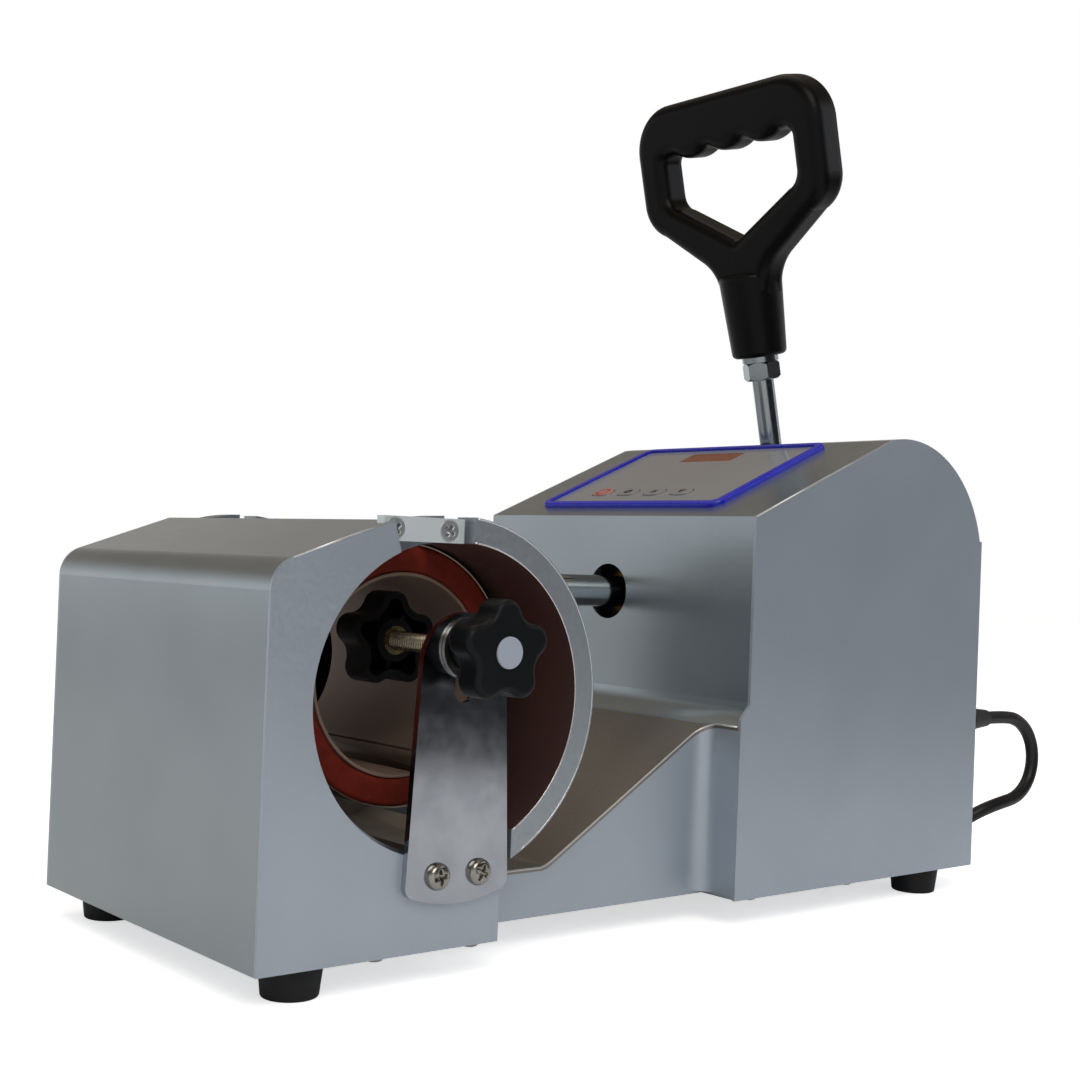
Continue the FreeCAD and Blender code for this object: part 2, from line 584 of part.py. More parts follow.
# Grip line over the fingers: three swells that hang down, with a rounded notch on each side of them
GAP_HALF = 47.5
GRIP_Z = 286.5
SWELLS = 3
SWELL_WIDE = 20.5
SWELL_DEEP = 3.0
NOTCH_WIDE = 6.0
swell_slope = 2 * math.atan(2 * SWELL_DEEP / SWELL_WIDE)
notch_deep = NOTCH_WIDE / 2 * math.tan(swell_slope / 2)
notch_r = NOTCH_WIDE / 2 / math.sin(swell_slope)
grip_half = (SWELLS * SWELL_WIDE + (SWELLS - 1) * NOTCH_WIDE) / 2
notch_top = GRIP_Z + notch_deep
inner_half = [(2.5, 236.0), (40.5, 256.5), ((46.0, 260.5), (GAP_HALF, 266.0)), (GAP_HALF, notch_top - 5),
              ((GAP_HALF - 1.5, notch_top - 1.5), (GAP_HALF - 5, notch_top)),
              (grip_half + NOTCH_WIDE / 2, notch_top),
              ((grip_half + NOTCH_WIDE / 2 - notch_r * math.sin(swell_slope / 2),
                notch_top - notch_r * (1 - math.cos(swell_slope / 2))), (grip_half, GRIP_Z))]
grip = []
edge_y = grip_half
for index in range(2 * SWELLS - 1):
    wide, rise = (SWELL_WIDE, -SWELL_DEEP) if index % 2 == 0 else (NOTCH_WIDE, notch_deep)
    grip.append(((edge_y - wide / 2, GRIP_Z + rise), (edge_y - wide, GRIP_Z)))
    edge_y -= wide
gap_face = outline(upright(-40), inner_half[0], *inner_half[1:], *grip, *mirrored(inner_half),
                   ((0, 235.1), inner_half[0]))
body = body.cut(gap_face.extrude(V(80, 0, 0)))
rim = [e for e in body.Edges if abs(abs(e.CenterOfMass.x) - HANDLE_HALF_THICK) < 1e-3]
body = body.makeFillet(HANDLE_ROUND, rim)
neck = Part.makeCone(NECK_LOW_R, NECK_HIGH_R, NECK_HIGH - HANDLE_FOOT, V(0, 0, HANDLE_FOOT), Z_AXIS)
neck_ends = [e for e in neck.Edges if len(e.Vertexes) == 1]
neck = neck.makeFillet(3.0, neck_ends)
rod_hole = rod(LEVER_ROD_R, V(0, 0, HANDLE_FOOT - 1), V(0, 0, HANDLE_FOOT + ROD_IN_HANDLE))
handle = body.fuse(neck).cut(rod_hole)
parts["lever_handle"] = lean(handle.removeSplitter())

# Heater: sponge wrap with its lining and band, and the spacers that hold it in the shells

WRAP_LOW = HEATER_GAP_END
WRAP_HIGH = 360 + HEATER_GAP_START
LINING = 1.5
BAND = 0.8


def wrap(inner, outer):
    """One layer of the heater wrap."""
    return ring_sector(HEATER_X, HEATER_Z, inner, outer, WRAP_LOW, WRAP_HIGH, HEATER_FRONT, HEATER_BACK)


parts["heater_lining"] = wrap(HEATER_IN - LINING, HEATER_IN)
parts["heater_sponge"] = wrap(HEATER_IN, HEATER_OUT)
parts["heater_band"] = wrap(HEATER_OUT, HEATER_OUT + BAND)
SPACER_NEAR = HEATER_FRONT + 20
SPACER_FAR = HEATER_BACK - 20
bore = rod(RING_IN, V(RING_X, 0, RING_Z), V(RING_X, 300, RING_Z))
core = rod(HEATER_OUT + BAND, V(HEATER_X, -1, HEATER_Z), V(HEATER_X, 300, HEATER_Z))
spacer_space = bore.cut(core)
parts["heater_spacer_fixed"] = spacer_space.common(block(0, HEATER_X, SPACER_NEAR, SPACER_FAR, 96, 110))
parts["heater_spacer_jaw"] = spacer_space.common(block(HEATER_X, 300, SPACER_NEAR, SPACER_FAR, 96, 110))

# Mug stop: plated bracket, threaded rod, clamping knob in front and stop knob inside the heater

BRACKET_TOP_HALF = 20.5
BRACKET_LOW_HALF = 24.8
BRACKET_ROUND_Z = 111.5
BRACKET_FOOT_Z = 22.8


def bracket_point(dx, z):
    """A point of the bracket's outline from the slot's middle."""
    return (STOP_X + dx, z)


bracket = outline(side(-BRACKET_THICK), bracket_point(-BRACKET_LOW_HALF, BRACKET_FOOT_Z + 4),
                  bracket_point(-BRACKET_TOP_HALF, BRACKET_ROUND_Z),
                  (bracket_point(0, BRACKET_ROUND_Z + BRACKET_TOP_HALF),
                   bracket_point(BRACKET_TOP_HALF, BRACKET_ROUND_Z)),
                  bracket_point(BRACKET_LOW_HALF, BRACKET_FOOT_Z + 4),
                  (bracket_point(BRACKET_LOW_HALF - 1, BRACKET_FOOT_Z + 0.8),
                   bracket_point(BRACKET_LOW_HALF - 4, BRACKET_FOOT_Z - 1)),
                  (bracket_point(0, 18.4), bracket_point(-BRACKET_LOW_HALF + 4, BRACKET_FOOT_Z - 1)),
                  (bracket_point(-BRACKET_LOW_HALF + 1, BRACKET_FOOT_Z + 0.8),
                   bracket_point(-BRACKET_LOW_HALF, BRACKET_FOOT_Z + 4)))
bracket = bracket.extrude(V(0, BRACKET_THICK, 0))
SLOT_R = ROD_R + 0.6
slot = rod(SLOT_R, V(STOP_X, -9, STOP_Z), V(STOP_X, 9, STOP_Z))
slot = slot.fuse([rod(SLOT_R, V(STOP_X, -9, STOP_Z - STOP_DROP), V(STOP_X, 9, STOP_Z - STOP_DROP)),
                  block(STOP_X - SLOT_R, STOP_X + SLOT_R, -9, 9, STOP_Z - STOP_DROP, STOP_Z)])
parts["stop_bracket"] = bracket.cut(slot)
BRACKET_SCREW_Z = 29.7
parts["bracket_screws"] = pan_heads([V(STOP_X + dx, -BRACKET_THICK, BRACKET_SCREW_Z) for dx in (-10.0, 10.0)],
                                    V(0, -1, 0), 5.4, 3.2)

KNOB_LOBE = 6.5
KNOB_VALLEY = 8.0


def star(y, depth, inset):
    """A star knob's body: lobes and valleys as arcs that run into each other, drawn inset from the rim."""
    reach = KNOB_R - KNOB_LOBE
    step = math.pi / KNOB_LOBES
    touch = KNOB_LOBE + KNOB_VALLEY
    hollow_reach = reach * math.cos(step) + math.sqrt(touch ** 2 - (reach * math.sin(step)) ** 2)
    edges = []

    def spot(radius, angle):
        return V(STOP_X + radius * math.sin(angle), y, STOP_Z + radius * math.cos(angle))

    def join(lobe, hollow):
        a = spot(reach, lobe)
        return a + (spot(hollow_reach, hollow) - a) * ((KNOB_LOBE - inset) / touch)

    for lobe in range(KNOB_LOBES):
        angle = 2 * lobe * step
        edges.append(arc(join(angle, angle - step), spot(KNOB_R - inset, angle), join(angle, angle + step)))
        edges.append(arc(join(angle, angle + step), spot(hollow_reach - KNOB_VALLEY - inset, angle + step),
                         join(angle + 2 * step, angle + step)))
    return Part.Face(Part.Wire(edges)).extrude(V(0, depth, 0))


def rim_edges(shape, y):
    """The edges that lie in the plane at depth y."""
    return [e for e in shape.Edges if abs(e.BoundBox.YMin - y) < 1e-3 and abs(e.BoundBox.YMax - y) < 1e-3]


WASHER_GAP = 0.2
WASHER_R = 12.0
WASHER = 1.6
LOCK_R = 7.4
LOCK = 1.8
KNOB_FACE = -30.0
KNOB_BODY = 14.0
HUB_END = -BRACKET_THICK - WASHER_GAP - WASHER - LOCK - WASHER_GAP
CAP_R = 6.2
CAP_DEEP = 1.4
ROD_FRONT = KNOB_FACE + 4.0
knob = star(KNOB_FACE, KNOB_BODY, 0)
knob = knob.makeFillet(2.6, rim_edges(knob, KNOB_FACE) + rim_edges(knob, KNOB_FACE + KNOB_BODY))
hub = Part.makeCone(11.0, 8.8, HUB_END - KNOB_FACE - KNOB_BODY,
                    V(STOP_X, KNOB_FACE + KNOB_BODY, STOP_Z), Y_AXIS)
knob = knob.fuse(hub)
knob = knob.cut(rod(CAP_R, V(STOP_X, KNOB_FACE, STOP_Z), V(STOP_X, KNOB_FACE + CAP_DEEP, STOP_Z)))
knob = knob.cut(rod(ROD_R + 0.05, V(STOP_X, ROD_FRONT - 0.5, STOP_Z), V(STOP_X, 0, STOP_Z)))
parts["front_knob"] = knob.removeSplitter()
cap = rod(CAP_R, V(STOP_X, KNOB_FACE - 0.8, STOP_Z), V(STOP_X, KNOB_FACE + CAP_DEEP, STOP_Z))
parts["knob_cap"] = cap.makeFillet(0.5, rim_edges(cap, KNOB_FACE - 0.8))

STOP_BOSS = 45.3
STOP_FACE = 63.0
STOP_WALL = 3.0
INSERT_R = 6.0
ROD_BACK = STOP_FACE - 5.0
stop_knob = star(STOP_BOSS + 1.5, STOP_FACE - STOP_BOSS - 1.5, 0)
stop_knob = stop_knob.makeFillet(2.6, rim_edges(stop_knob, STOP_FACE))
hollow = star(STOP_BOSS, STOP_FACE - STOP_BOSS - STOP_WALL, STOP_WALL)
boss = rod(9.0, V(STOP_X, STOP_BOSS + 0.5, STOP_Z), V(STOP_X, STOP_FACE - STOP_WALL, STOP_Z))
ribs = []
for index in range(KNOB_LOBES):
    web = block(STOP_X - 0.9, STOP_X + 0.9, STOP_BOSS + 5, STOP_FACE - STOP_WALL, STOP_Z + 8, STOP_Z + 13.5)
    web.rotate(V(STOP_X, 0, STOP_Z), Y_AXIS, 360 / KNOB_LOBES * (index + 0.5))
    ribs.append(web)
stop_knob = stop_knob.cut(hollow).fuse([boss] + ribs)
insert_hole = rod(INSERT_R, V(STOP_X, STOP_BOSS - 1, STOP_Z), V(STOP_X, ROD_BACK + 0.5, STOP_Z))
parts["stop_knob"] = stop_knob.cut(insert_hole).removeSplitter()
parts["stop_insert"] = tube(INSERT_R, ROD_R + 0.05, V(STOP_X, STOP_BOSS, STOP_Z),
                            V(STOP_X, ROD_BACK + 0.5, STOP_Z))
parts["stop_rod"] = rod(ROD_R, V(STOP_X, ROD_FRONT, STOP_Z), V(STOP_X, ROD_BACK, STOP_Z))


def washer(radius, y0, y1):
    """A flat washer on the stop rod."""
    return tube(radius, ROD_R, V(STOP_X, y0, STOP_Z), V(STOP_X, y1, STOP_Z))


WASHER_FACE = -BRACKET_THICK - WASHER_GAP
parts["stop_washers"] = Part.makeCompound([washer(WASHER_R, WASHER_FACE - WASHER, WASHER_FACE),
                                           washer(LOCK_R, WASHER_FACE - WASHER - LOCK, WASHER_FACE - WASHER),
                                           washer(WASHER_R, WASHER_GAP, WASHER_GAP + WASHER)])
jam = hexagon(13.0, 0, 6.5).cut(rod(ROD_R, V(0, 0, -1), V(0, 0, 9)))
jam.rotate(V(0, 0, 0), X_AXIS, -90)
jam.translate(V(STOP_X, WASHER_GAP + WASHER, STOP_Z))
parts["stop_nut"] = jam

# Panel, drawn flat with X up the slope and Z out of it, then laid on the slope

def on_slope(shape):
    """Lays a piece drawn flat onto the control housing's slope."""
    shape = shape.copy()
    shape.rotate(V(0, 0, 0), Y_AXIS, -math.degrees(SLOPE_ANGLE))
    shape.translate(V(CONTROL_LEFT, 0, CONTROL_SLOPE_Z))
    return shape


def slab(s0, s1, y0, y1, low, high, radius):
    """A flat plate with rounded corners."""
    return rounded(block(s0, s1, y0, y1, low, high), radius, lambda e: along(e, Z_AXIS))


frame = slab(PANEL_LOW, PANEL_HIGH, PANEL_NEAR, PANEL_FAR, 0, BEZEL_HEIGHT, 7.0)
frame = frame.makeFillet(1.2, [e for e in frame.Edges if e.BoundBox.ZMin > BEZEL_HEIGHT - 0.01])
inside = slab(PANEL_LOW + BEZEL_WIDTH, PANEL_HIGH - BEZEL_WIDTH, PANEL_NEAR + BEZEL_WIDTH,
              PANEL_FAR - BEZEL_WIDTH, -1, 9, 3.5)
parts["panel_bezel"] = on_slope(frame.cut(inside))
overlay = inside.common(block(0, 200, 0, 300, 0, OVERLAY_THICK))
WINDOW = (79.0, 92.0, 90.0, 129.0)
KEY_HALF_S = 4.6
KEY_HALF_Y = 6.6
KEY_GAP = 0.4
KEY_LOW = 0.6
KEY_HIGH = 1.9
overlay = overlay.cut(slab(*WINDOW, -1, 9, 1.0))
for name, y in KEY_PLACES.items():
    hole = slab(KEY_ROW - KEY_HALF_S - KEY_GAP, KEY_ROW + KEY_HALF_S + KEY_GAP, y - KEY_HALF_Y - KEY_GAP,
                y + KEY_HALF_Y + KEY_GAP, -1, 9, KEY_HALF_S)
    overlay = overlay.cut(hole)
    key = slab(KEY_ROW - KEY_HALF_S, KEY_ROW + KEY_HALF_S, y - KEY_HALF_Y, y + KEY_HALF_Y, KEY_LOW, KEY_HIGH,
               KEY_HALF_S - 0.2)
    key = key.makeFillet(0.6, [e for e in key.Edges if e.BoundBox.ZMin > KEY_HIGH - 0.01])
    parts["key_" + name] = on_slope(key)
parts["panel_overlay"] = on_slope(overlay)
parts["display_window"] = on_slope(slab(*WINDOW, 0, OVERLAY_THICK - 0.2, 1.0))
BOARD_DROP = 14.0
BOARD = 1.6
board = block(18, 96, 48, 164, -BOARD_DROP - BOARD, -BOARD_DROP)
display = block(WINDOW[0] - 2, WINDOW[1] + 2, WINDOW[2] - 3, WINDOW[3] + 3, -BOARD_DROP, -SHEET - 0.2)
parts["display_module"] = on_slope(display)
posts = [rod(3.0, V(s, y, -BOARD_DROP), V(s, y, -SHEET)) for s in (22, 92) for y in (52, 160)]
parts["control_board"] = on_slope(board.fuse(posts).removeSplitter())
parts["control_cover"] = parts["control_cover"].cut(on_slope(slab(*WINDOW, -9, 0.5, 1.0)))
relay = block(272, 330, 150, 190, SHEET, SHEET + 26)
for index in range(5):
    x = 278 + index * 10
    relay = relay.cut(block(x, x + 5, 149, 191, SHEET + 12, SHEET + 40))
parts["power_relay"] = relay
parts["terminal_block"] = block(392, 428, 22, 44, SHEET, SHEET + 18)

# Mains lead: strain relief, free stretch, coil, tie and plug

GLAND_END = BACK_X + SHEET + 24.0
gland_profile = [(0, BACK_X - 4), (8.5, BACK_X - 4), (8.5, BACK_X - SHEET), (CORD_R + 2.5, BACK_X - SHEET),
                 (CORD_R + 2.5, BACK_X + SHEET), (9.0, BACK_X + SHEET), (9.0, BACK_X + SHEET + 4),
                 (6.6, BACK_X + SHEET + 5), (4.6, GLAND_END), (0, GLAND_END)]
gland = outline(lambda r, x: V(x, GLAND_Y + r, GLAND_Z), *gland_profile)
parts["cord_gland"] = gland.revolve(V(0, GLAND_Y, GLAND_Z), X_AXIS, 360)

COIL_START_R = COIL_MID_R + COIL_PITCH * 1.2
COIL_LOW = FLOOR + CORD_R + 1.3
COIL_HIGH = COIL_LOW + COIL_PITCH
COIL_ENTRY = V(COIL_X - COIL_START_R, COIL_Y, COIL_LOW)
CORD_ROUTE = [V(GLAND_END, GLAND_Y, GLAND_Z), V(474.2, 15, 76.2), V(489.3, 14.8, 74.6), V(501.1, 14.5, 66.0),
              V(505.7, 14.2, 52.5), V(501.1, 13.8, 38.9), V(489.3, 13.4, 30.6), V(474.0, 13.6, 28.6),
              V(459.5, 17.0, 24.5), V(449.0, 26.0, 15.5), V(444.8, 40.0, 5.0), V(445.5, 55.5, -3.0),
              V(447.3, 72.0, -7.6), V(446.8, 88.0, COIL_LOW), V(445.2, 103.0, COIL_LOW), COIL_ENTRY]


def rounded_route(points):
    """Straight runs joined by tangent arcs, each as large as its two runs allow. Prints the radii."""
    edges = []
    radii = []
    here = points[0]
    for before, corner, after in zip(points, points[1:], points[2:]):
        a = (before - corner).normalize()
        b = (after - corner).normalize()
        turn = math.pi - a.getAngle(b)
        if turn < 1e-4:
            continue
        reach = 0.45 * min((before - corner).Length, (after - corner).Length)
        radius = reach / math.tan(turn / 2)
        radii.append(round(radius, 1))
        start = corner + a * reach
        end = corner + b * reach
        centre = corner + (a + b).normalize() * (radius / math.cos(turn / 2))
        middle = centre + (corner - centre).normalize() * radius
        edges.append(line(here, start))
        edges.append(arc(start, middle, end))
        here = end
    edges.append(line(here, points[-1]))
    print("cord radii", radii)
    return Part.Wire(edges)


def sweep(path, radius):
    """A round cord along a path."""
    first = path.Edges[0]
    start = first.valueAt(first.FirstParameter)
    heading = first.tangentAt(first.FirstParameter)
    ring = Part.Wire(Part.Circle(start, heading, radius).toShape())
    shell = Part.BRepOffsetAPI.MakePipeShell(path)
    shell.add(ring)
    shell.build()
    shell.makeSolid()
    return shell.shape()


route = rounded_route(CORD_ROUTE)
parts["power_cord"] = sweep(route, CORD_R)
print("cord length", round(route.Length, 1), "volume ratio",
      round(parts["power_cord"].Volume / (math.pi * CORD_R ** 2 * route.Length), 4))


def biarc(p, t, q, u):
    """Two arcs that leave p along t and reach q along u, joined smoothly, with equal tangent lengths."""
    chord = q - p
    both = t + u
    a = 2 * (1 - t.dot(u))
    b = 2 * chord.dot(both)
    c = -chord.dot(chord)
    reach = (-b + math.sqrt(b * b - 4 * a * c)) / (2 * a) if a > 1e-9 else -c / b
    joint = (p + t * reach + q - u * reach) * 0.5
    edges = []
    for start, tangent, end in ((p, t, joint), (joint, None, q)):
        if tangent is None:
            tangent = ((q - u * reach) - (p + t * reach)).normalize()
        span = end - start
        normal = span - tangent * span.dot(tangent)
        radius = span.dot(span) / (2 * normal.Length)
        centre = start + normal.normalize() * radius
        middle = centre + ((start + end) * 0.5 - centre).normalize() * radius
        edges.append(arc(start, middle, end))
    return edges


def coil_path():
    """Half turns that spiral in on the floor, climb one layer, and spiral out on top of them."""
    radii = [COIL_START_R - COIL_PITCH / 2 * k for k in range(COIL_HALF_TURNS + 1)]
    radii += [radii[-1] + COIL_PITCH / 2 * (k + 1) for k in range(COIL_HALF_TURNS - 1)]
    edges = []
    here = V(COIL_ENTRY)
    first_run = here + V(0, 2 * CORD_R, 0)
    edges.append(line(here, first_run))
    here = first_run
    heading = V(0, 1, 0)
    for index, radius in enumerate(radii):
        sign = 1 if heading.y > 0 else -1
        height = COIL_HIGH if index >= COIL_HALF_TURNS else COIL_LOW
        climb = height - here.z
        crown = here + V(sign * radius, sign * radius, climb / 2)
        rise = climb / (math.pi * radius) * 1.6
        edges += biarc(here, V(heading), crown, V(sign, 0, rise).normalize())
        end = here + V(sign * 2 * radius, 0, climb)
        edges += biarc(crown, V(sign, 0, rise).normalize(), end, V(0, -sign, 0))
        here = end
        heading = V(0, -sign, 0)
    last = here + V(0, LEAD_OUT, 0)
    edges.append(line(here, last))
    return Part.Wire(edges), last


LEAD_OUT = 31.0
coil_wire, coil_end = coil_path()
parts["cord_coil"] = sweep(coil_wire, CORD_R)
print("coil length", round(coil_wire.Length, 1), "volume ratio",
      round(parts["cord_coil"].Volume / (math.pi * CORD_R ** 2 * coil_wire.Length), 4))


def least_self_gap(path, radius):
    """The least gap between stretches of a cord that are more than half a turn apart, on points."""
    count = 900
    points = path.discretize(count)
    step = path.Length / (count - 1)
    apart = int(60 / step)
    least = 1e9
    for i in range(count):
        for j in range(i + apart, count):
            least = min(least, (points[i] - points[j]).Length)
    return least - 2 * radius


print("coil self gap", round(least_self_gap(coil_wire, CORD_R), 2))

TIE_WIDE = 9.0
TIE = 1.0
tie_x0 = COIL_X + COIL_START_R - 2 * COIL_PITCH - CORD_R - 0.3
tie_x1 = COIL_X + COIL_START_R + CORD_R + 0.4
tie_z0 = COIL_LOW - CORD_R - 0.2
tie_z1 = COIL_HIGH + CORD_R + 0.2
tie_outer = block(tie_x0 - TIE, tie_x1 + TIE, COIL_Y + 2, COIL_Y + 2 + TIE_WIDE, tie_z0 - TIE, tie_z1 + TIE)
tie_inner = block(tie_x0, tie_x1, COIL_Y, COIL_Y + 20, tie_z0, tie_z1)
parts["coil_tie"] = tie_outer.makeFillet(2.0, [e for e in tie_outer.Edges if along(e, Y_AXIS)]).cut(tie_inner)

PLUG_HALF = COIL_HIGH - FLOOR - 0.1
PLUG_LONG = 34.0
PLUG_NECK = 14.0
plug_start = coil_end.y
plug = Part.makeCone(5.0, 8.0, PLUG_NECK, coil_end, Y_AXIS)
blade_start = plug_start + PLUG_NECK + PLUG_LONG
plug_body = block(coil_end.x - 13, coil_end.x + 13, plug_start + PLUG_NECK, blade_start,
                  coil_end.z - PLUG_HALF, coil_end.z + PLUG_HALF)
plug_body = plug_body.makeFillet(4.0, [e for e in plug_body.Edges if along(e, Y_AXIS)])
parts["plug"] = plug.fuse(plug_body).removeSplitter()
blades = [block(coil_end.x + dx - 0.8, coil_end.x + dx + 0.8, blade_start, blade_start + 17, coil_end.z - 3.2,
                coil_end.z + 3.2) for dx in (-6.35, 6.35)]
earth = V(coil_end.x, blade_start, coil_end.z - 8)
blades.append(rod(2.4, earth, earth + V(0, 20, 0)))
parts["plug_blades"] = Part.makeCompound(blades)

os.makedirs("parts", exist_ok=True)
CORD_NODES = ("cord_gland", "power_cord", "cord_coil", "coil_tie", "plug", "plug_blades")
box = FreeCAD.BoundBox()
for name, shape in parts.items():
    placed = shape.copy()
    placed.translate(-DATUM)
    placed.exportStep("parts/" + name + ".step")
    print(name, shape.isValid(), len(shape.Solids), round(shape.Volume / 1000, 2))
    if name not in CORD_NODES:
        box.add(placed.optimalBoundingBox(False, False))
print("box", box)
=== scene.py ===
import logging
import math
from dataclasses import dataclass, field
from enum import Enum
from typing import Any, Dict, List, Optional, Sequence, Tuple

import bpy
import numpy as np
from mathutils import Matrix


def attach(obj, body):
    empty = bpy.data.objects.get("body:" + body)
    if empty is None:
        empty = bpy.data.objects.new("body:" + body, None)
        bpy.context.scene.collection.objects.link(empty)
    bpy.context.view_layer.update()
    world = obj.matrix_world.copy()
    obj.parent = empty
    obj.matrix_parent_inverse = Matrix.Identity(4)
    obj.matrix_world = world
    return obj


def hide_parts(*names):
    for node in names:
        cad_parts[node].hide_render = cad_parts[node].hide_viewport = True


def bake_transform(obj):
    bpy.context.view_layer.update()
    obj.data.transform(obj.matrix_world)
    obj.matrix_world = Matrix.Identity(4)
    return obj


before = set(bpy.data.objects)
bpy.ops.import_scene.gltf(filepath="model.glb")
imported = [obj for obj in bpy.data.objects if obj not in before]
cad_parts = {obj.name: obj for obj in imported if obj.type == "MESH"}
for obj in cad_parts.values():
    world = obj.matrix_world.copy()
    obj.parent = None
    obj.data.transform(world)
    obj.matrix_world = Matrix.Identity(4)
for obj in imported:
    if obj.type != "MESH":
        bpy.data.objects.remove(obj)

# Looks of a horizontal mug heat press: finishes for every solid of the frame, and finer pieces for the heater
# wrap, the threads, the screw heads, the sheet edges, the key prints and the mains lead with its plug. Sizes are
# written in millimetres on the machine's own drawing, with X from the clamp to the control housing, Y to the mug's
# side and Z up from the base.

log = logging.getLogger("mug_press")
MM = 0.001
DATUM = np.array([218.4, 85.1, -13.0])
FULL_TURN = 2 * math.pi
QUARTER_TURN = math.pi / 2
# Fineness of the noise in a finish, and how strongly its grain shows as bump.
PATCH_DETAIL = 3.0
PEEL_DETAIL = 1.0
GRAIN_DETAIL = 4.0
BUMP_STRENGTH = 0.6
BEAD_SIDES = 10
Point = Tuple[float, float, float]


def to_frame(points: np.ndarray) -> np.ndarray:
    """Moves drawing points in millimetres to the part's frame in metres.

    Args:
        points: Array whose last axis is X, Y, Z on the machine's drawing.

    Returns:
        The same points in the part's frame.
    """
    return (np.asarray(points, dtype=float) - DATUM) * MM


def hex_linear(code: str) -> Tuple[float, float, float, float]:
    """Turns an sRGB hex colour to linear light.

    Args:
        code: Six hex digits with a leading #.

    Returns:
        Red, green, blue and an alpha of one.
    """
    channels = [int(code[i:i + 2], 16) / 255 for i in (1, 3, 5)]
    linear = [c / 12.92 if c <= 0.04045 else ((c + 0.055) / 1.055) ** 2.4 for c in channels]
    return (linear[0], linear[1], linear[2], 1.0)


def add_node(tree: bpy.types.NodeTree, kind: str, settings: Dict[str, Any], inputs: Dict[Any, Any]) -> Any:
    """Adds a node, sets its properties and fills or links its inputs.

    Args:
        tree: Node tree that takes the node.
        kind: Blender's name for the node's type.
        settings: Properties of the node by name.
        inputs: Values or output sockets by input name or number.

    Returns:
        The new node.
    """
    node = tree.nodes.new(kind)
    for name, value in settings.items():
        setattr(node, name, value)
    for name, value in inputs.items():
        if isinstance(value, bpy.types.NodeSocket):
            tree.links.new(value, node.inputs[name])
        else:
            node.inputs[name].default_value = value
    return node


class Grain(Enum):
    """How a surface was made, which sets the pattern of its relief."""

    PEEL = "baked powder coat with a slight orange peel"
    BRUSHED = "drawn along one direction"
    BLASTED = "blasted with fine grit"
    MOULDED = "moulded against a spark-eroded tool"
    FOAMED = "foamed, with open pores"
    POLISHED = "ground and polished or plated"


@dataclass(frozen=True)
class Finish:
    """One real material with the way its surface was made.

    Colours are sRGB hex values; the second one is what the first drifts towards in wide soft patches. The grain's
    width, its depth and the patches' width are in millimetres.
    """

    name: str
    colour: str
    second: str
    metallic: float
    roughness: float
    grain: Grain
    grain_mm: float
    depth_mm: float
    patch_mm: float = 45.0
    spread: float = 0.06
    stretch: Point = (1.0, 1.0, 1.0)
    ior: float = 1.5
    specular: float = 0.5

    def tint(self, tree: bpy.types.NodeTree) -> Any:
        """Adds the colour, which drifts between the two in wide soft patches.

        Args:
            tree: The material's node tree.

        Returns:
            A socket with the colour.
        """
        place = add_node(tree, "ShaderNodeTexCoord", {}, {})
        patches = add_node(tree, "ShaderNodeTexNoise", {},
                           {"Vector": place.outputs["Object"], "Scale": 1.0 / (self.patch_mm * MM),
                            "Detail": PATCH_DETAIL})
        mixed = add_node(tree, "ShaderNodeMix", {"data_type": "RGBA"},
                         {"Factor": patches.outputs["Fac"], "A": hex_linear(self.colour),
                          "B": hex_linear(self.second)})
        return mixed.outputs["Result"]

    def relief(self, tree: bpy.types.NodeTree) -> Any:
        """Adds the grain's pattern.

        Args:
            tree: The material's node tree.

        Returns:
            A socket with the grain's height from 0 to 1.
        """
        place = add_node(tree, "ShaderNodeTexCoord", {}, {})
        turned = add_node(tree, "ShaderNodeMapping", {},
                          {"Vector": place.outputs["Object"], "Scale": self.stretch})
        per_metre = 1.0 / (self.grain_mm * MM)
        if self.grain is Grain.FOAMED:
            pores = add_node(tree, "ShaderNodeTexVoronoi", {},
                             {"Vector": turned.outputs["Vector"], "Scale": per_metre})
            return pores.outputs["Distance"]
        detail = PEEL_DETAIL if self.grain is Grain.PEEL else GRAIN_DETAIL
        noise = add_node(tree, "ShaderNodeTexNoise", {},
                         {"Vector": turned.outputs["Vector"], "Scale": per_metre, "Detail": detail})
        return noise.outputs["Fac"]

    def material(self) -> bpy.types.Material:
        """Builds the material once and returns it on later calls.

        Returns:
            The material, with patchy colour, varied roughness and the grain as bump.
        """
        known = bpy.data.materials.get(self.name)
        if known is not None:
            return known
        made = bpy.data.materials.new(self.name)
        made.use_nodes = True
        tree = made.node_tree
        shader = tree.nodes["Principled BSDF"]
        shader.inputs["Metallic"].default_value = self.metallic
        if self.metallic == 0.0:
            shader.inputs["IOR"].default_value = self.ior
        shader.inputs["Specular IOR Level"].default_value = self.specular
        tree.links.new(self.tint(tree), shader.inputs["Base Color"])
        height = self.relief(tree)
        gloss = add_node(tree, "ShaderNodeMapRange", {},
                         {"Value": height, "To Min": self.roughness - self.spread,
                          "To Max": self.roughness + self.spread})
        tree.links.new(gloss.outputs["Result"], shader.inputs["Roughness"])
        bump = add_node(tree, "ShaderNodeBump", {},
                        {"Height": height, "Strength": BUMP_STRENGTH, "Distance": self.depth_mm * MM})
        tree.links.new(bump.outputs["Normal"], shader.inputs["Normal"])
        return made


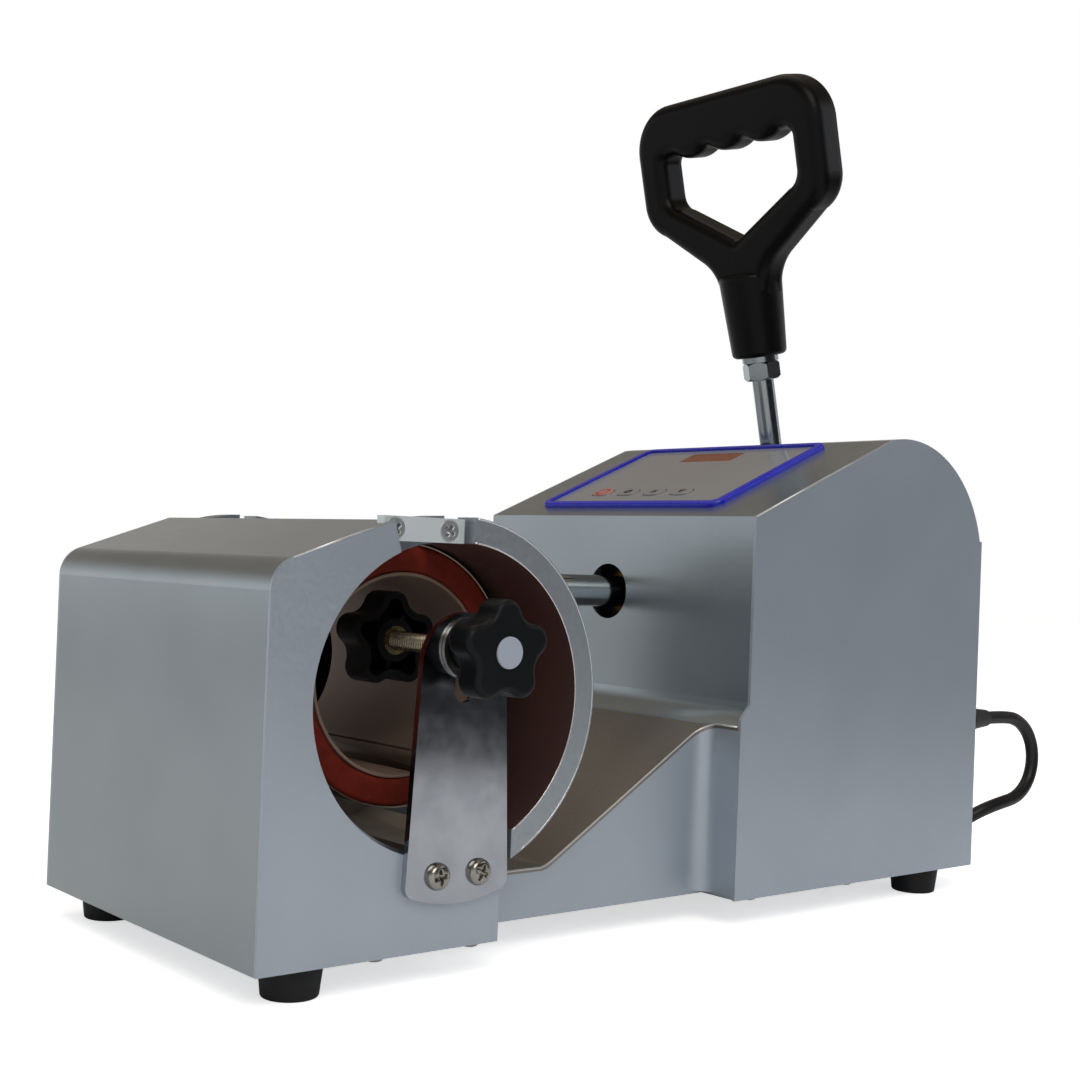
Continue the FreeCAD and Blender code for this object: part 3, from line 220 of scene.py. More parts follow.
@dataclass(frozen=True)
class CastingWithPaintedShadeInside(Finish):
    """A casting whose round inside, from a set distance off the mug's axis inwards, is coloured with painted shade and
    a painted reflection of the red sponge.
    """

    # inside: colour of the painted shade in the round inside, with a painted reflection of the sponge.
    inside: str = "#2a2422"
    axis: Tuple[float, float] = (83.3, 98.0)
    inside_radius: float = 61.25

    def tint(self, tree: bpy.types.NodeTree) -> Any:
        """Adds the casting's colour, and the painted shade colour within the inside radius.

        Args:
            tree: The material's node tree.

        Returns:
            A socket with the colour.
        """
        outer = super().tint(tree)
        middle = to_frame(np.array([self.axis[0], 0.0, self.axis[1]]))
        place = add_node(tree, "ShaderNodeTexCoord", {}, {})
        flat = add_node(tree, "ShaderNodeVectorMath", {"operation": "MULTIPLY"},
                        {0: place.outputs["Object"], 1: (1.0, 0.0, 1.0)})
        away = add_node(tree, "ShaderNodeVectorMath", {"operation": "DISTANCE"},
                        {0: flat.outputs[0], 1: (middle[0], 0.0, middle[2])})
        painted_shade_mask = add_node(tree, "ShaderNodeMath", {"operation": "LESS_THAN"},
                          {0: away.outputs["Value"], 1: self.inside_radius * MM})
        mixed = add_node(tree, "ShaderNodeMix", {"data_type": "RGBA"},
                         {"Factor": painted_shade_mask.outputs[0], "A": outer, "B": hex_linear(self.inside)})
        return mixed.outputs["Result"]


# Silver powder coat on the flat end plates, baked: a soft cool grey with a fine peel and a satin glow.
PLATE_COAT = Finish("silver_powder_coat_on_steel", "#b0bac5", "#a2acb8", 0.6, 0.40, Grain.PEEL, 1.6, 0.05, 60.0, 0.1)
# Satin silver coat of the bent covers, rubbed down along their length: smooth enough to mirror softly.
COVER_SATIN = Finish("rubbed_silver_coat_on_steel", "#a4aeb4", "#919ba1", 0.8, 0.25, Grain.BRUSHED, 1.2, 0.002, 60.0,
                     0.04, (1.0, 0.12, 1.0))
# The same coat on the deck, written darker and browner as painted shade and a painted reflection of the dark room,
# where the deck lies in shadow under the jaw.
SHADED_DECK_SATIN = Finish("silver_coat_with_painted_shade", "#8f8983", "#817b75", 0.7, 0.30, Grain.BRUSHED, 1.2, 0.008, 50.0,
                    0.07, (0.12, 1.0, 1.0))
# Cast aluminium, grit blasted: even, cool and dull. The inside is painted shade, with a painted red-brown reflection
# of the sponge on the jaw and a painted olive shade and reflection on the shell.
JAW_CAST = CastingWithPaintedShadeInside("blasted_cast_aluminium_jaw_with_painted_shade", "#aeb6bd", "#989fa7", 0.8, 0.44, Grain.BLASTED, 1.1, 0.14,
                        3.0, 0.14, inside="#7d625e")
SHELL_CAST = CastingWithPaintedShadeInside("blasted_cast_aluminium_shell_with_painted_shade", "#98a0a7", "#838b93", 0.8, 0.44, Grain.BLASTED, 1.1,
                          0.14, 3.0, 0.14, inside="#6b655c")
# Turned edge of the same casting: bright, with lines round it too fine to show.
TURNED_EDGE = Finish("turned_aluminium_edge", "#e4e7ea", "#d3d8dc", 0.9, 0.26, Grain.POLISHED, 0.8, 0.01)
# Ground edge of the sheet, where the coat is thin, coloured brighter than the coat as a painted highlight along it.
SHEET_EDGE_HIGHLIGHT = Finish("sheet_steel_edge_with_painted_highlight", "#dcdfe1", "#c3c7ca", 0.8, 0.30, Grain.POLISHED, 1.0, 0.01)
# Drawn aluminium flat bar: pale, with lines along its length.
DRAWN_BAR = Finish("drawn_aluminium_bar", "#dfe7ea", "#d2dade", 0.45, 0.36, Grain.BRUSHED, 0.5, 0.02,
                   30.0, 0.06, (0.05, 1.0, 1.0))
# Bright chromium plate on steel: mirrors the room, with a faint haze and dull spots.
BRIGHT_PLATE = Finish("bright_chromium_plate", "#bcc1c9", "#8f939c", 1.0, 0.15, Grain.POLISHED, 9.0, 0.02, 17.0, 0.08)
# Nickel-plated screw steel: pale and slightly soft.
NICKEL_SCREW = Finish("nickel_plated_screw_steel", "#aaa9a3", "#8d8b85", 1.0, 0.24, Grain.POLISHED, 1.2, 0.01, 6.0)
# White zinc on the countersunk screws: pale, with a soft gloss.
WHITE_ZINC = Finish("white_zinc_plated_screw_steel", "#c9ccce", "#b4b7ba", 0.8, 0.34, Grain.POLISHED, 1.2, 0.005, 6.0)
# Ground and polished shaft steel.
GROUND_SHAFT = Finish("ground_polished_steel", "#c6cdd0", "#b3babe", 1.0, 0.14, Grain.POLISHED, 2.0, 0.005, 25.0, 0.04)
# Yellow chromate over zinc: a straw colour with rainbow drift.
YELLOW_ZINC = Finish("yellow_chromated_zinc", "#b0a06c", "#8f8468", 1.0, 0.28, Grain.POLISHED, 1.5, 0.01, 7.0)
# Blue-bright zinc on the lever's rod and nut: a soft cool metal, duller than chromium.
BLUE_ZINC = Finish("blue_chromated_zinc", "#9aa2a6", "#868d91", 1.0, 0.2, Grain.POLISHED, 2.5, 0.003, 12.0, 0.05)
# Pale zinc on the threaded rod, with a hint of straw.
PALE_ZINC = Finish("pale_chromated_zinc", "#a39b88", "#857d6c", 1.0, 0.26, Grain.POLISHED, 1.2, 0.01, 6.0)
# Dark board that closes the back of the clamp round the mug, coloured dark green-blue as painted shade where one sees
# through into the shadowed clamp.
PAINTED_SHADE_BOARD = Finish("dark_board_as_painted_shade", "#12292f", "#0d2025", 0.0, 0.5, Grain.FOAMED, 1.0, 0.03, 20.0,
                      ior=1.41)
# Milled mild steel inside the housing.
MILLED_STEEL = Finish("milled_mild_steel", "#85888b", "#74777b", 1.0, 0.36, Grain.BRUSHED, 0.7, 0.02, 30.0, 0.08,
                      (1.0, 0.08, 1.0))
# Sintered bronze, oil filled.
SINTERED_BRONZE = Finish("sintered_bronze", "#a57a3f", "#8a6534", 1.0, 0.45, Grain.BLASTED, 0.5, 0.03, 8.0)
# Moulded phenolic knobs: black with a low gloss.
BLACK_PHENOLIC = Finish("moulded_black_phenolic", "#0a0c0e", "#101316", 0.0, 0.42, Grain.MOULDED, 0.9, 0.03, 12.0,
                        ior=1.6, specular=0.12)
# Moulded ABS grip: black with a soft sheen from its fine eroded grain.
BLACK_ABS = Finish("moulded_black_abs", "#060607", "#0b0c0d", 0.0, 0.34, Grain.MOULDED, 0.9, 0.03, 40.0,
                   ior=1.54, specular=0.1)
# Moulded pale grey cap.
GREY_CAP = Finish("moulded_grey_abs", "#9ba3af", "#929aa7", 0.0, 0.36, Grain.MOULDED, 0.6, 0.01, 10.0, ior=1.54)
# Moulded blue ABS frame, glossy on its rounded top.
BLUE_ABS = Finish("moulded_blue_abs", "#141bb0", "#1a22bd", 0.0, 0.26, Grain.MOULDED, 1.0, 0.004, 25.0, 0.04, ior=1.54)
# Printed polyester film with a smooth face that mirrors softly.
PANEL_FILM = Finish("printed_polyester_film", "#8e8f91", "#858689", 0.0, 0.13, Grain.MOULDED, 0.9, 0.004, 40.0,
                    ior=1.57)
KEY_FILM = Finish("embossed_polyester_film", "#8a8b8d", "#808184", 0.0, 0.2, Grain.MOULDED, 0.6, 0.004, 10.0, ior=1.57)
RED_KEY_FILM = Finish("embossed_red_polyester_film", "#a9837c", "#9f7972", 0.0, 0.2, Grain.MOULDED, 0.6, 0.004, 10.0,
                      ior=1.57)
# Screen-printed inks on the film.
RED_INK = Finish("screen_printed_red_ink", "#c2302a", "#b52a25", 0.0, 0.42, Grain.MOULDED, 0.5, 0.004, 8.0)
DARK_INK = Finish("screen_printed_dark_ink", "#2b2825", "#24211f", 0.0, 0.42, Grain.MOULDED, 0.5, 0.004, 8.0)
# Tinted polyester window over the unlit display.
TINTED_WINDOW = Finish("tinted_polyester_window", "#8a4a2c", "#7a3f25", 0.0, 0.16, Grain.POLISHED, 4.0, 0.004,
                       18.0, 0.03, ior=1.57, specular=0.3)
# Foamed silicone: brick red, dull, with pores along its cut faces.
RED_SPONGE = Finish("foamed_red_silicone", "#7d2412", "#571308", 0.0, 0.76, Grain.FOAMED, 1.3, 0.25, 5.0, 0.08,
                    ior=1.41, specular=0.35)
# Glass-cloth silicone mat: brown grey with a weave.
LINING_MAT = Finish("glass_cloth_silicone_mat", "#8d776a", "#7b665a", 0.0, 0.55, Grain.FOAMED, 0.9, 0.04, 20.0,
                    ior=1.41)
# Rolled stainless strip round the wrap.
ROLLED_STRIP = Finish("rolled_stainless_strip", "#b5ad9d", "#a0988a", 1.0, 0.30, Grain.BRUSHED, 0.6, 0.01, 20.0, 0.06,
                      (1.0, 0.06, 1.0))
# Glass-epoxy laminate with green solder mask.
GREEN_LAMINATE = Finish("green_epoxy_laminate", "#1f5a35", "#1a4d2d", 0.0, 0.35, Grain.MOULDED, 1.0, 0.01, 15.0,
                        ior=1.55)
BLACK_MODULE = Finish("moulded_black_display_body", "#161616", "#1b1b1b", 0.0, 0.30, Grain.MOULDED, 0.8, 0.01,
                      ior=1.54)
RELAY_CASE = Finish("moulded_dark_nylon", "#2a2b2d", "#242527", 0.0, 0.45, Grain.MOULDED, 0.8, 0.02, ior=1.53)
NYLON_BLOCK = Finish("moulded_natural_nylon", "#d8d4c4", "#cdc8b6", 0.0, 0.42, Grain.MOULDED, 0.8, 0.02, ior=1.53)
# Moulded rubber feet: black and dull.
FOOT_RUBBER = Finish("moulded_black_rubber", "#0f1012", "#16171a", 0.0, 0.62, Grain.MOULDED, 0.9, 0.03, 10.0,
                     ior=1.52, specular=0.3)
# Extruded PVC sheath of the lead.
PVC_SHEATH = Finish("extruded_black_pvc", "#0d0e10", "#141518", 0.0, 0.42, Grain.MOULDED, 1.0, 0.02, 20.0,
                    ior=1.54, specular=0.35)
PLATED_BLADE = Finish("nickel_plated_brass", "#b9b39c", "#a9a38b", 1.0, 0.24, Grain.POLISHED, 1.0, 0.01, 6.0)


def place_mesh(name: str, points: np.ndarray, faces: Sequence[Sequence[int]], smooth: bool) -> bpy.types.Object:
    """Makes a mesh object at the origin.

    Args:
        name: The new object's name.
        points: The points, in the part's frame.
        faces: The faces as numbers of points.
        smooth: Whether the faces are shaded as one smooth surface.

    Returns:
        The object.
    """
    mesh = bpy.data.meshes.new(name)
    mesh.from_pydata(points.tolist(), [], faces)
    mesh.polygons.foreach_set("use_smooth", np.full(len(mesh.polygons), smooth))
    mesh.update()
    made = bpy.data.objects.new(name, mesh)
    bpy.context.scene.collection.objects.link(made)
    return made


def skin(name: str, rings: np.ndarray, capped: bool, smooth: bool = True) -> bpy.types.Object:
    """Makes a mesh from closed rings of points, laid one after another.

    The surface is a grid: ring i, point j is joined to its neighbours i+1 and j+1, with j running round. A cap is a
    fan from a ring's middle. Without caps the last ring is joined to the first.

    Args:
        name: The new object's name.
        rings: Array of m rings by n points by 3, in the part's frame, turning so that faces point outwards.
        capped: Whether the first and last ring are closed by caps, not joined to each other.
        smooth: Whether the faces are shaded as one smooth surface.

    Returns:
        The object, at the origin.
    """
    count, around = rings.shape[:2]
    index = np.arange(count * around).reshape(count, around)
    here, beyond = (index[:-1], index[1:]) if capped else (index, np.roll(index, -1, 0))
    quads = np.stack([here, np.roll(here, -1, 1), np.roll(beyond, -1, 1), beyond], -1).reshape(-1, 4)
    points = rings.reshape(-1, 3)
    faces: List[List[int]] = quads.tolist()
    if capped:
        middles = np.stack([rings[0].mean(0), rings[-1].mean(0)])
        first, last = len(points), len(points) + 1
        points = np.concatenate([points, middles])
        low = np.stack([np.roll(index[0], -1), index[0], np.full(around, first)], -1)
        high = np.stack([index[-1], np.roll(index[-1], -1), np.full(around, last)], -1)
        faces += low.tolist() + high.tolist()
    return place_mesh(name, points, faces, smooth)


def joined(name: str, pieces: Sequence[bpy.types.Object]) -> bpy.types.Object:
    """Joins mesh pieces that sit at the origin to one object.

    Args:
        name: The joined object's name.
        pieces: The pieces, which go away.

    Returns:
        The joined object.
    """
    points: List[np.ndarray] = []
    faces: List[List[int]] = []
    start = 0
    for piece in pieces:
        flat = np.empty(len(piece.data.vertices) * 3)
        piece.data.vertices.foreach_get("co", flat)
        points.append(flat.reshape(-1, 3))
        faces += [[start + v for v in polygon.vertices] for polygon in piece.data.polygons]
        start += len(piece.data.vertices)
        bpy.data.objects.remove(piece)
    return place_mesh(name, np.concatenate(points), faces, True)


def round_trip(count: int) -> np.ndarray:
    """Gives evenly spaced angles once round, in radians, the last one short of the first.

    Args:
        count: How many angles.

    Returns:
        The angles.
    """
    return np.linspace(0.0, FULL_TURN, count, endpoint=False)


def bead(name: str, path: np.ndarray, radius: float, beside: Point) -> bpy.types.Object:
    """Makes a fine round bead along a line, such as a ground sheet edge.

    Each ring is a circle spanned by two directions square to the line: the one nearest to beside, and the cross
    product of that with the line's run.

    Args:
        name: The new object's name.
        path: The line's points on the drawing.
        radius: The bead's radius.
        beside: A direction that the line never runs along.

    Returns:
        The bead.
    """
    run = np.gradient(path, axis=0)
    run /= np.linalg.norm(run, axis=1, keepdims=True)
    across = np.cross(run, np.array(beside))
    across /= np.linalg.norm(across, axis=1, keepdims=True)
    normal = np.cross(across, run)
    angle = round_trip(BEAD_SIDES)[None, :, None]
    rings = path[:, None, :] + radius * (np.cos(angle) * normal[:, None, :] + np.sin(angle) * across[:, None, :])
    return skin(name, to_frame(rings), True)


def place_piece(piece: bpy.types.Object, finish: Finish, body: Optional[str]) -> bpy.types.Object:
    """Gives a new piece its finish and slot, and lets it ride.

    Args:
        piece: The piece, in place.
        finish: What it is made of.
        body: The body that it rides on, or None where it rides on no body.

    Returns:
        The piece.
    """
    piece.data.materials.append(finish.material())
    if body is not None:
        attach(piece, body)
    log.info("piece %s on %s", piece.name, body)
    return piece


def dress(finish: Finish, *nodes: str) -> None:
    """Gives solids of the frame a finish.

    Args:
        finish: What they are made of.
        nodes: The solids' names.
    """
    for node in nodes:
        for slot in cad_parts[node].material_slots:
            slot.material = finish.material()
        log.info("solid %s is %s", node, finish.name)


@dataclass(frozen=True)
class ScrewHead:
    """A screw head as a height over its own disc, with a cross recess.

    The recess's wall is the width over which a bar's edge goes down. Its reach, fade and floor are shares of the
    head's radius: where the bars end, how fast they do, and what the depth falls off from. The eye is the share at
    which the rings stop, before the cap.
    """

    radius: float
    height: float
    recess_deep: float = 1.5
    recess_wide: float = 0.9
    recess_wall: float = 0.35
    recess_reach: float = 0.62
    recess_fade: float = 0.14
    recess_floor: float = 1.2
    rim_power: float = 5.0
    eye: float = 0.02
    upright: float = 0.9
    sunk: float = 0.4
    rings: int = 34
    around: int = 72

    def build(self, name: str, seat: Point, out: Point, turn: float) -> bpy.types.Object:
        """Makes one head.

        The height over radius r is that of a quarter ellipse at the rim with a nearly flat top. The cross is two
        bars at right angles: it goes down where the distance to a bar's middle line is under its half width, fading
        to nothing at six tenths of the radius. A first ring below the seat gives the head its body.

        Args:
            name: The new object's name.
            seat: Middle of the head's seat on the drawing.
            out: Unit direction in which the head stands out.
            turn: How far the cross is turned, in radians.

        Returns:
            The head.
        """
        share = np.linspace(1.0, self.eye, self.rings)[:, None]
        angle = round_trip(self.around)[None, :]
        reach = self.radius * share * np.ones_like(angle)
        rise = np.sqrt(np.clip(1.0 - np.power(share, self.rim_power), 0.0, 1.0))
        bar = np.minimum(np.abs(reach * np.sin(angle - turn)), np.abs(reach * np.cos(angle - turn)))
        inside = np.clip((self.recess_wide - bar) / self.recess_wall, 0.0, 1.0)
        fade = np.clip((self.recess_reach - share) / self.recess_fade, 0.0, 1.0)
        deep = self.recess_deep * np.clip(self.recess_floor - share, 0.0, 1.0)
        dome = self.height * rise - deep * inside * fade
        reach = np.concatenate([reach[:1], reach])
        dome = np.concatenate([np.full((1, self.around), -self.sunk), dome])
        normal = np.asarray(out, dtype=float)
        helper = np.array([0.0, 0.0, 1.0]) if abs(normal[2]) < self.upright else np.array([1.0, 0.0, 0.0])
        right = np.cross(helper, normal)
        right /= np.linalg.norm(right)
        up = np.cross(normal, right)
        flat = (np.asarray(seat) + reach[..., None] * np.cos(angle)[..., None] * right
                + reach[..., None] * np.sin(angle)[..., None] * up + dome[..., None] * normal)
        return skin(name, to_frame(flat), True)


@dataclass
class Housing:
    """Sheet-metal housing: clamp end, bridge and control end, with feet and screws."""

    plates: Tuple[str, ...] = ("clamp_front_plate", "clamp_back_plate", "front_skirt", "back_skirt", "base_plate",
                               "control_front_plate", "control_back_plate", "back_cover")
    covers: Tuple[str, ...] = ("clamp_cover", "control_cover")
    base_screws: Tuple[Tuple[float, float], ...] = ((8, 97), (56, 8), (102, 8), (56, 178), (270, 12), (340, 12),
                                                    (270, 192), (340, 192), (425, 102))
    cover_face: float = 434.8
    cover_screws: Tuple[Tuple[float, float], ...] = ((12, 12), (12, 150), (192, 12), (192, 150))
    base_head: ScrewHead = ScrewHead(4.0, 2.6)
    cover_head: ScrewHead = ScrewHead(3.5, 2.0)
    base_turn: float = 0.4
    cover_turn: float = 0.5
    bead_radius: float = 0.45
    ramp: Tuple[Tuple[float, float], ...] = ((112.0, 21.0), (152.4, 21.0), (155.6, 21.7), (159.4, 23.6), (242.0, 74.4))
    ramp_front: float = 25.5
    ramp_slope: float = 0.615
    ramp_bend: float = 9.0
    ramp_end: float = 5.0
    bend_steps: int = 9
    control_slope: Tuple[Tuple[float, float], ...] = ((256.8, 177.5), (354.5, 220.3))
    control_front: float = 3.1
    clamp_slope: Tuple[Tuple[float, float], ...] = ((8.7, 151.25), (52.6, 166.8))
    clamp_front: float = 0.1
    hem_from: float = 112.6
    hem_fall: float = 166.0
    hem_to: float = 238.0
    hem_high: float = 13.0
    hem_sunk: float = 0.6
    hem_depth: Tuple[float, float] = (177.1, 178.3)
    hem_steps: int = 80

    def edges(self) -> None:
        """Makes the ground edges, coloured bright as a painted highlight, along the ramp and the two slopes.

        The ramp's edge runs straight up, turns to the front in a quarter circle in plan while it still climbs, and
        ends level at the control housing's plate.
        """
        low = np.array([(x, self.ramp_front, z) for x, z in self.ramp])
        turn = np.linspace(0.0, QUARTER_TURN, self.bend_steps)[1:]
        out = self.ramp_bend * np.sin(turn)
        bend = low[-1] + np.stack([out, self.ramp_bend * (np.cos(turn) - 1.0), out * self.ramp_slope], -1)
        last = np.array([[bend[-1][0], self.ramp_end, bend[-1][2]]])
        ramp = bead("ramp_edge", np.concatenate([low, bend, last]), self.bead_radius, (0.0, 0.0, 1.0))
        place_piece(ramp, SHEET_EDGE_HIGHLIGHT, "root")
        plan = (("control_slope_edge", self.control_slope, self.control_front),
                ("clamp_slope_edge", self.clamp_slope, self.clamp_front))
        for name, line, depth in plan:
            points = np.array([(x, depth, z) for x, z in line])
            edge = bead(name, points, self.bead_radius, (0.0, 1.0, 0.0))
            place_piece(edge, SHEET_EDGE_HIGHLIGHT, "root")

    def back_hem(self) -> None:
        """Makes the hem folded up along the deck's back edge, a sheet that darkens that place as painted shade.

        It is a thin upright sheet over the ramp's line, whose height goes to nothing along the ramp as a cosine.
        """
        run = np.linspace(self.hem_from, self.hem_to, self.hem_steps)
        low = np.interp(run, *np.array(self.ramp).T) - self.hem_sunk
        fall = np.clip((run - self.hem_fall) / (self.hem_to - self.hem_fall), 0.0, 1.0)
        high = low + self.hem_sunk + self.hem_high * (0.5 + 0.5 * np.cos(math.pi * fall))
        corners = ((self.hem_depth[0], low), (self.hem_depth[1], low), (self.hem_depth[1], high),
                   (self.hem_depth[0], high))
        rings = np.stack([np.stack([run, np.full_like(run, depth), level], -1) for depth, level in corners], 1)
        place_piece(skin("deck_back_hem", to_frame(rings), True, False), SHADED_DECK_SATIN, "root")

    def build(self) -> None:
        """Dresses the sheets and feet and makes the screw heads."""
        dress(PLATE_COAT, *self.plates)
        dress(COVER_SATIN, *self.covers)
        dress(SHADED_DECK_SATIN, "bridge_deck")
        self.edges()
        self.back_hem()
        dress(FOOT_RUBBER, "rubber_feet")
        heads = [self.base_head.build("base_head", (x, y, 0.0), (0.0, 0.0, -1.0), self.base_turn * i)
                 for i, (x, y) in enumerate(self.base_screws)]
        heads += [self.cover_head.build("cover_head", (self.cover_face, y, z), (1.0, 0.0, 0.0), self.cover_turn * i)
                  for i, (y, z) in enumerate(self.cover_screws)]
        screws = place_piece(joined("housing_screw_heads", heads), NICKEL_SCREW, "root")
        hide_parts("housing_screws")


@dataclass
class Clamp:
    """Fixed half shell, moving jaw, top strip and the shaft that works the jaw."""

    centre: Tuple[float, float] = (83.3, 98.0)
    strip_seat: float = 1.7
    strip_mid: float = 163.6
    strip_screws: Tuple[float, float] = (54.0, 79.6)
    jaw_front: float = -2.0
    rim_radii: Tuple[float, float] = (61.6, 71.1)
    rim_bead: float = 0.45
    rim_sunk: float = 0.3
    rim_steps: int = 90
    rim_low: float = math.radians(-60.0)
    rim_high: float = math.radians(84.0)
    board_depth: Tuple[float, float] = (178.0, 179.5)
    board_outer: float = 61.0
    board_inner: float = 43.0
    board_steps: int = 60
    jaw_board: Tuple[float, float] = (-57.0, 84.0)
    shell_board: Tuple[float, float] = (96.0, 268.0)
    mug_centre: Tuple[float, float] = (82.5, 104.5)
    strip_head: ScrewHead = ScrewHead(4.5, 0.25, recess_deep=3.0, recess_wide=0.85, sunk=3.2)
    strip_turn: Tuple[float, float] = (0.7, 0.3)

    def shade_board(self, name: str, sector: Tuple[float, float], body: str) -> None:
        """Makes the dark board of painted shade that closes the back of one half shell round the mug.

        It is a flat sector: its outer edge is an arc about the clamp's axis, its inner edge one about the mug's.

        Args:
            name: The new object's name.
            sector: Where the sector starts and ends, in degrees.
            body: The body that it rides on.
        """
        angle = np.radians(np.linspace(*sector, self.board_steps))
        way = np.stack([np.cos(angle), np.sin(angle)], -1)
        outer = np.array(self.centre) + self.board_outer * way
        inner = np.array(self.mug_centre) + self.board_inner * way
        corners = [(inner, self.board_depth[0]), (outer, self.board_depth[0]), (outer, self.board_depth[1]),
                   (inner, self.board_depth[1])]
        rings = np.stack([np.stack([edge[:, 0], np.full(len(edge), depth), edge[:, 1]], -1)
                          for edge, depth in corners], 1)
        place_piece(skin(name, to_frame(rings), True, False), PAINTED_SHADE_BOARD, body)

    def rims(self) -> None:
        """Makes the turned edges round the jaw's front: arcs about the clamp's axis."""
        angle = np.linspace(self.rim_low, self.rim_high, self.rim_steps)
        depth = np.full_like(angle, self.jaw_front + self.rim_sunk)
        for name, radius in zip(("jaw_inner_rim", "jaw_outer_rim"), self.rim_radii):
            path = np.stack([self.centre[0] + radius * np.cos(angle), depth,
                             self.centre[1] + radius * np.sin(angle)], -1)
            rim = bead(name, path, self.rim_bead, (0.0, 1.0, 0.0))
            place_piece(rim, TURNED_EDGE, "jaw")

    def build(self) -> None:
        """Dresses the castings and the shaft, and makes the rims, the dark boards of painted shade at the back and the
        countersunk heads.
        """
        dress(SHELL_CAST, "fixed_shell", "heater_spacer_fixed")
        dress(JAW_CAST, "jaw_shell", "heater_spacer_jaw")
        self.rims()
        self.shade_board("jaw_back_board", self.jaw_board, "jaw")
        self.shade_board("shell_back_board", self.shell_board, "root")
        dress(DRAWN_BAR, "top_strip")
        dress(GROUND_SHAFT, "push_shaft")
        dress(MILLED_STEEL, "shaft_fork", "guide_block", "guide_stand")
        dress(SINTERED_BRONZE, "shaft_bushes")
        heads = [self.strip_head.build("strip_head", (x, self.strip_seat, self.strip_mid), (0.0, -1.0, 0.0),
                                       self.strip_turn[0] + self.strip_turn[1] * i)
                 for i, x in enumerate(self.strip_screws)]
        screws = place_piece(joined("strip_screw_heads", heads), WHITE_ZINC, "root")
        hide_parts("strip_screws")


@dataclass
class HeaterWrap:
    """Heater wrap round the mug: lining mat, red sponge and outer band, open at the bottom."""

    centre: Tuple[float, float] = (82.5, 104.5)
    front: float = 35.0
    back: float = 152.0
    low: float = math.radians(-56.0)
    high: float = math.radians(280.0)
    lining: Tuple[float, float] = (40.5, 42.0)
    sponge: Tuple[float, float] = (42.0, 53.5)
    band: Tuple[float, float] = (53.5, 54.3)
    bend_from: float = 60.0
    bend_to: float = 108.0
    bend_depth: float = 90.0
    end_thick: float = math.radians(1.0)
    steps: int = 180
    end_steps: int = 4
    end_round: float = 0.5
    corner_steps: int = 7
    corner_share: float = 0.45
    waves: Tuple[Point, ...] = ((1.0, 5.0, 0.0), (0.6, 11.0, 1.0), (0.4, 23.0, 0.0))

    def layer(self, name: str, radii: Tuple[float, float], near: float, far: float, round_mm: float,
              wobble: float) -> bpy.types.Object:
        """Makes one layer: a rounded rectangle in the radius-depth plane, carried round the mug's axis.

        The section's corners are quarter circles of radius round_mm. A slow sum of sines moves the front and back
        edges by about wobble, as on cut foam.

        Args:
            name: The new object's name.
            radii: Inner and outer radius.
            near: Depth of the front edge.
            far: Depth of the back edge.
            round_mm: Corner radius of the section.
            wobble: How far the cut edges wander.

        Returns:
            The layer.
        """
        corner = min(round_mm, self.corner_share * (radii[1] - radii[0]))
        quarter = np.linspace(0.0, QUARTER_TURN, self.corner_steps)
        spots = ((radii[1] - corner, far - corner, 0.0), (radii[0] + corner, far - corner, QUARTER_TURN),
                 (radii[0] + corner, near + corner, 2 * QUARTER_TURN),
                 (radii[1] - corner, near + corner, 3 * QUARTER_TURN))
        reach = np.concatenate([r + corner * np.cos(quarter + a) for r, _, a in spots])
        depth = np.concatenate([y + corner * np.sin(quarter + a) for _, y, a in spots])
        angle = np.linspace(self.low, self.high, self.steps)[:, None]
        wander = wobble * sum(size * np.sin(times * angle + shift) for size, times, shift in self.waves)
        edge = np.where(depth < (near + far) / 2, 1.0, -1.0)[None, :]
        rings = np.stack([self.centre[0] + reach[None, :] * np.cos(angle),
                          depth[None, :] + wander * edge,
                          self.centre[1] + reach[None, :] * np.sin(angle)], -1)
        return skin(name, to_frame(rings), True)

    def build(self) -> None:
        """Makes the three layers, and the lining folded over the ends, which ride on no body."""
        plan = (("heater_lining_mat", "heater_lining", self.lining, 0.0, 0.5, 0.05, LINING_MAT, "lining_silicone"),
                ("heater_sponge_wrap", "heater_sponge", self.sponge, 0.0, 2.2, 0.35, RED_SPONGE, "silicone_red"),
                ("heater_band_strip", "heater_band", self.band, 0.4, 0.3, 0.0, ROLLED_STRIP, "band_steel"))
        for name, node, radii, inset, corner, wobble, finish, slot in plan:
            layer = self.layer(name, radii, self.front + inset, self.back - inset, corner, wobble)
            place_piece(layer, finish, None)
            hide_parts(node)
            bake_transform(layer)
        sides = (("heater_lining_jaw_end", self.low - self.end_thick), ("heater_lining_fixed_end", self.high))
        for name, side in sides:
            flap = HeaterWrap(low=side, high=side + self.end_thick, steps=self.end_steps)
            end_piece = flap.layer(name, self.sponge, self.front, self.back, self.end_round, 0.0)
            place_piece(end_piece, LINING_MAT, None)
            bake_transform(end_piece)


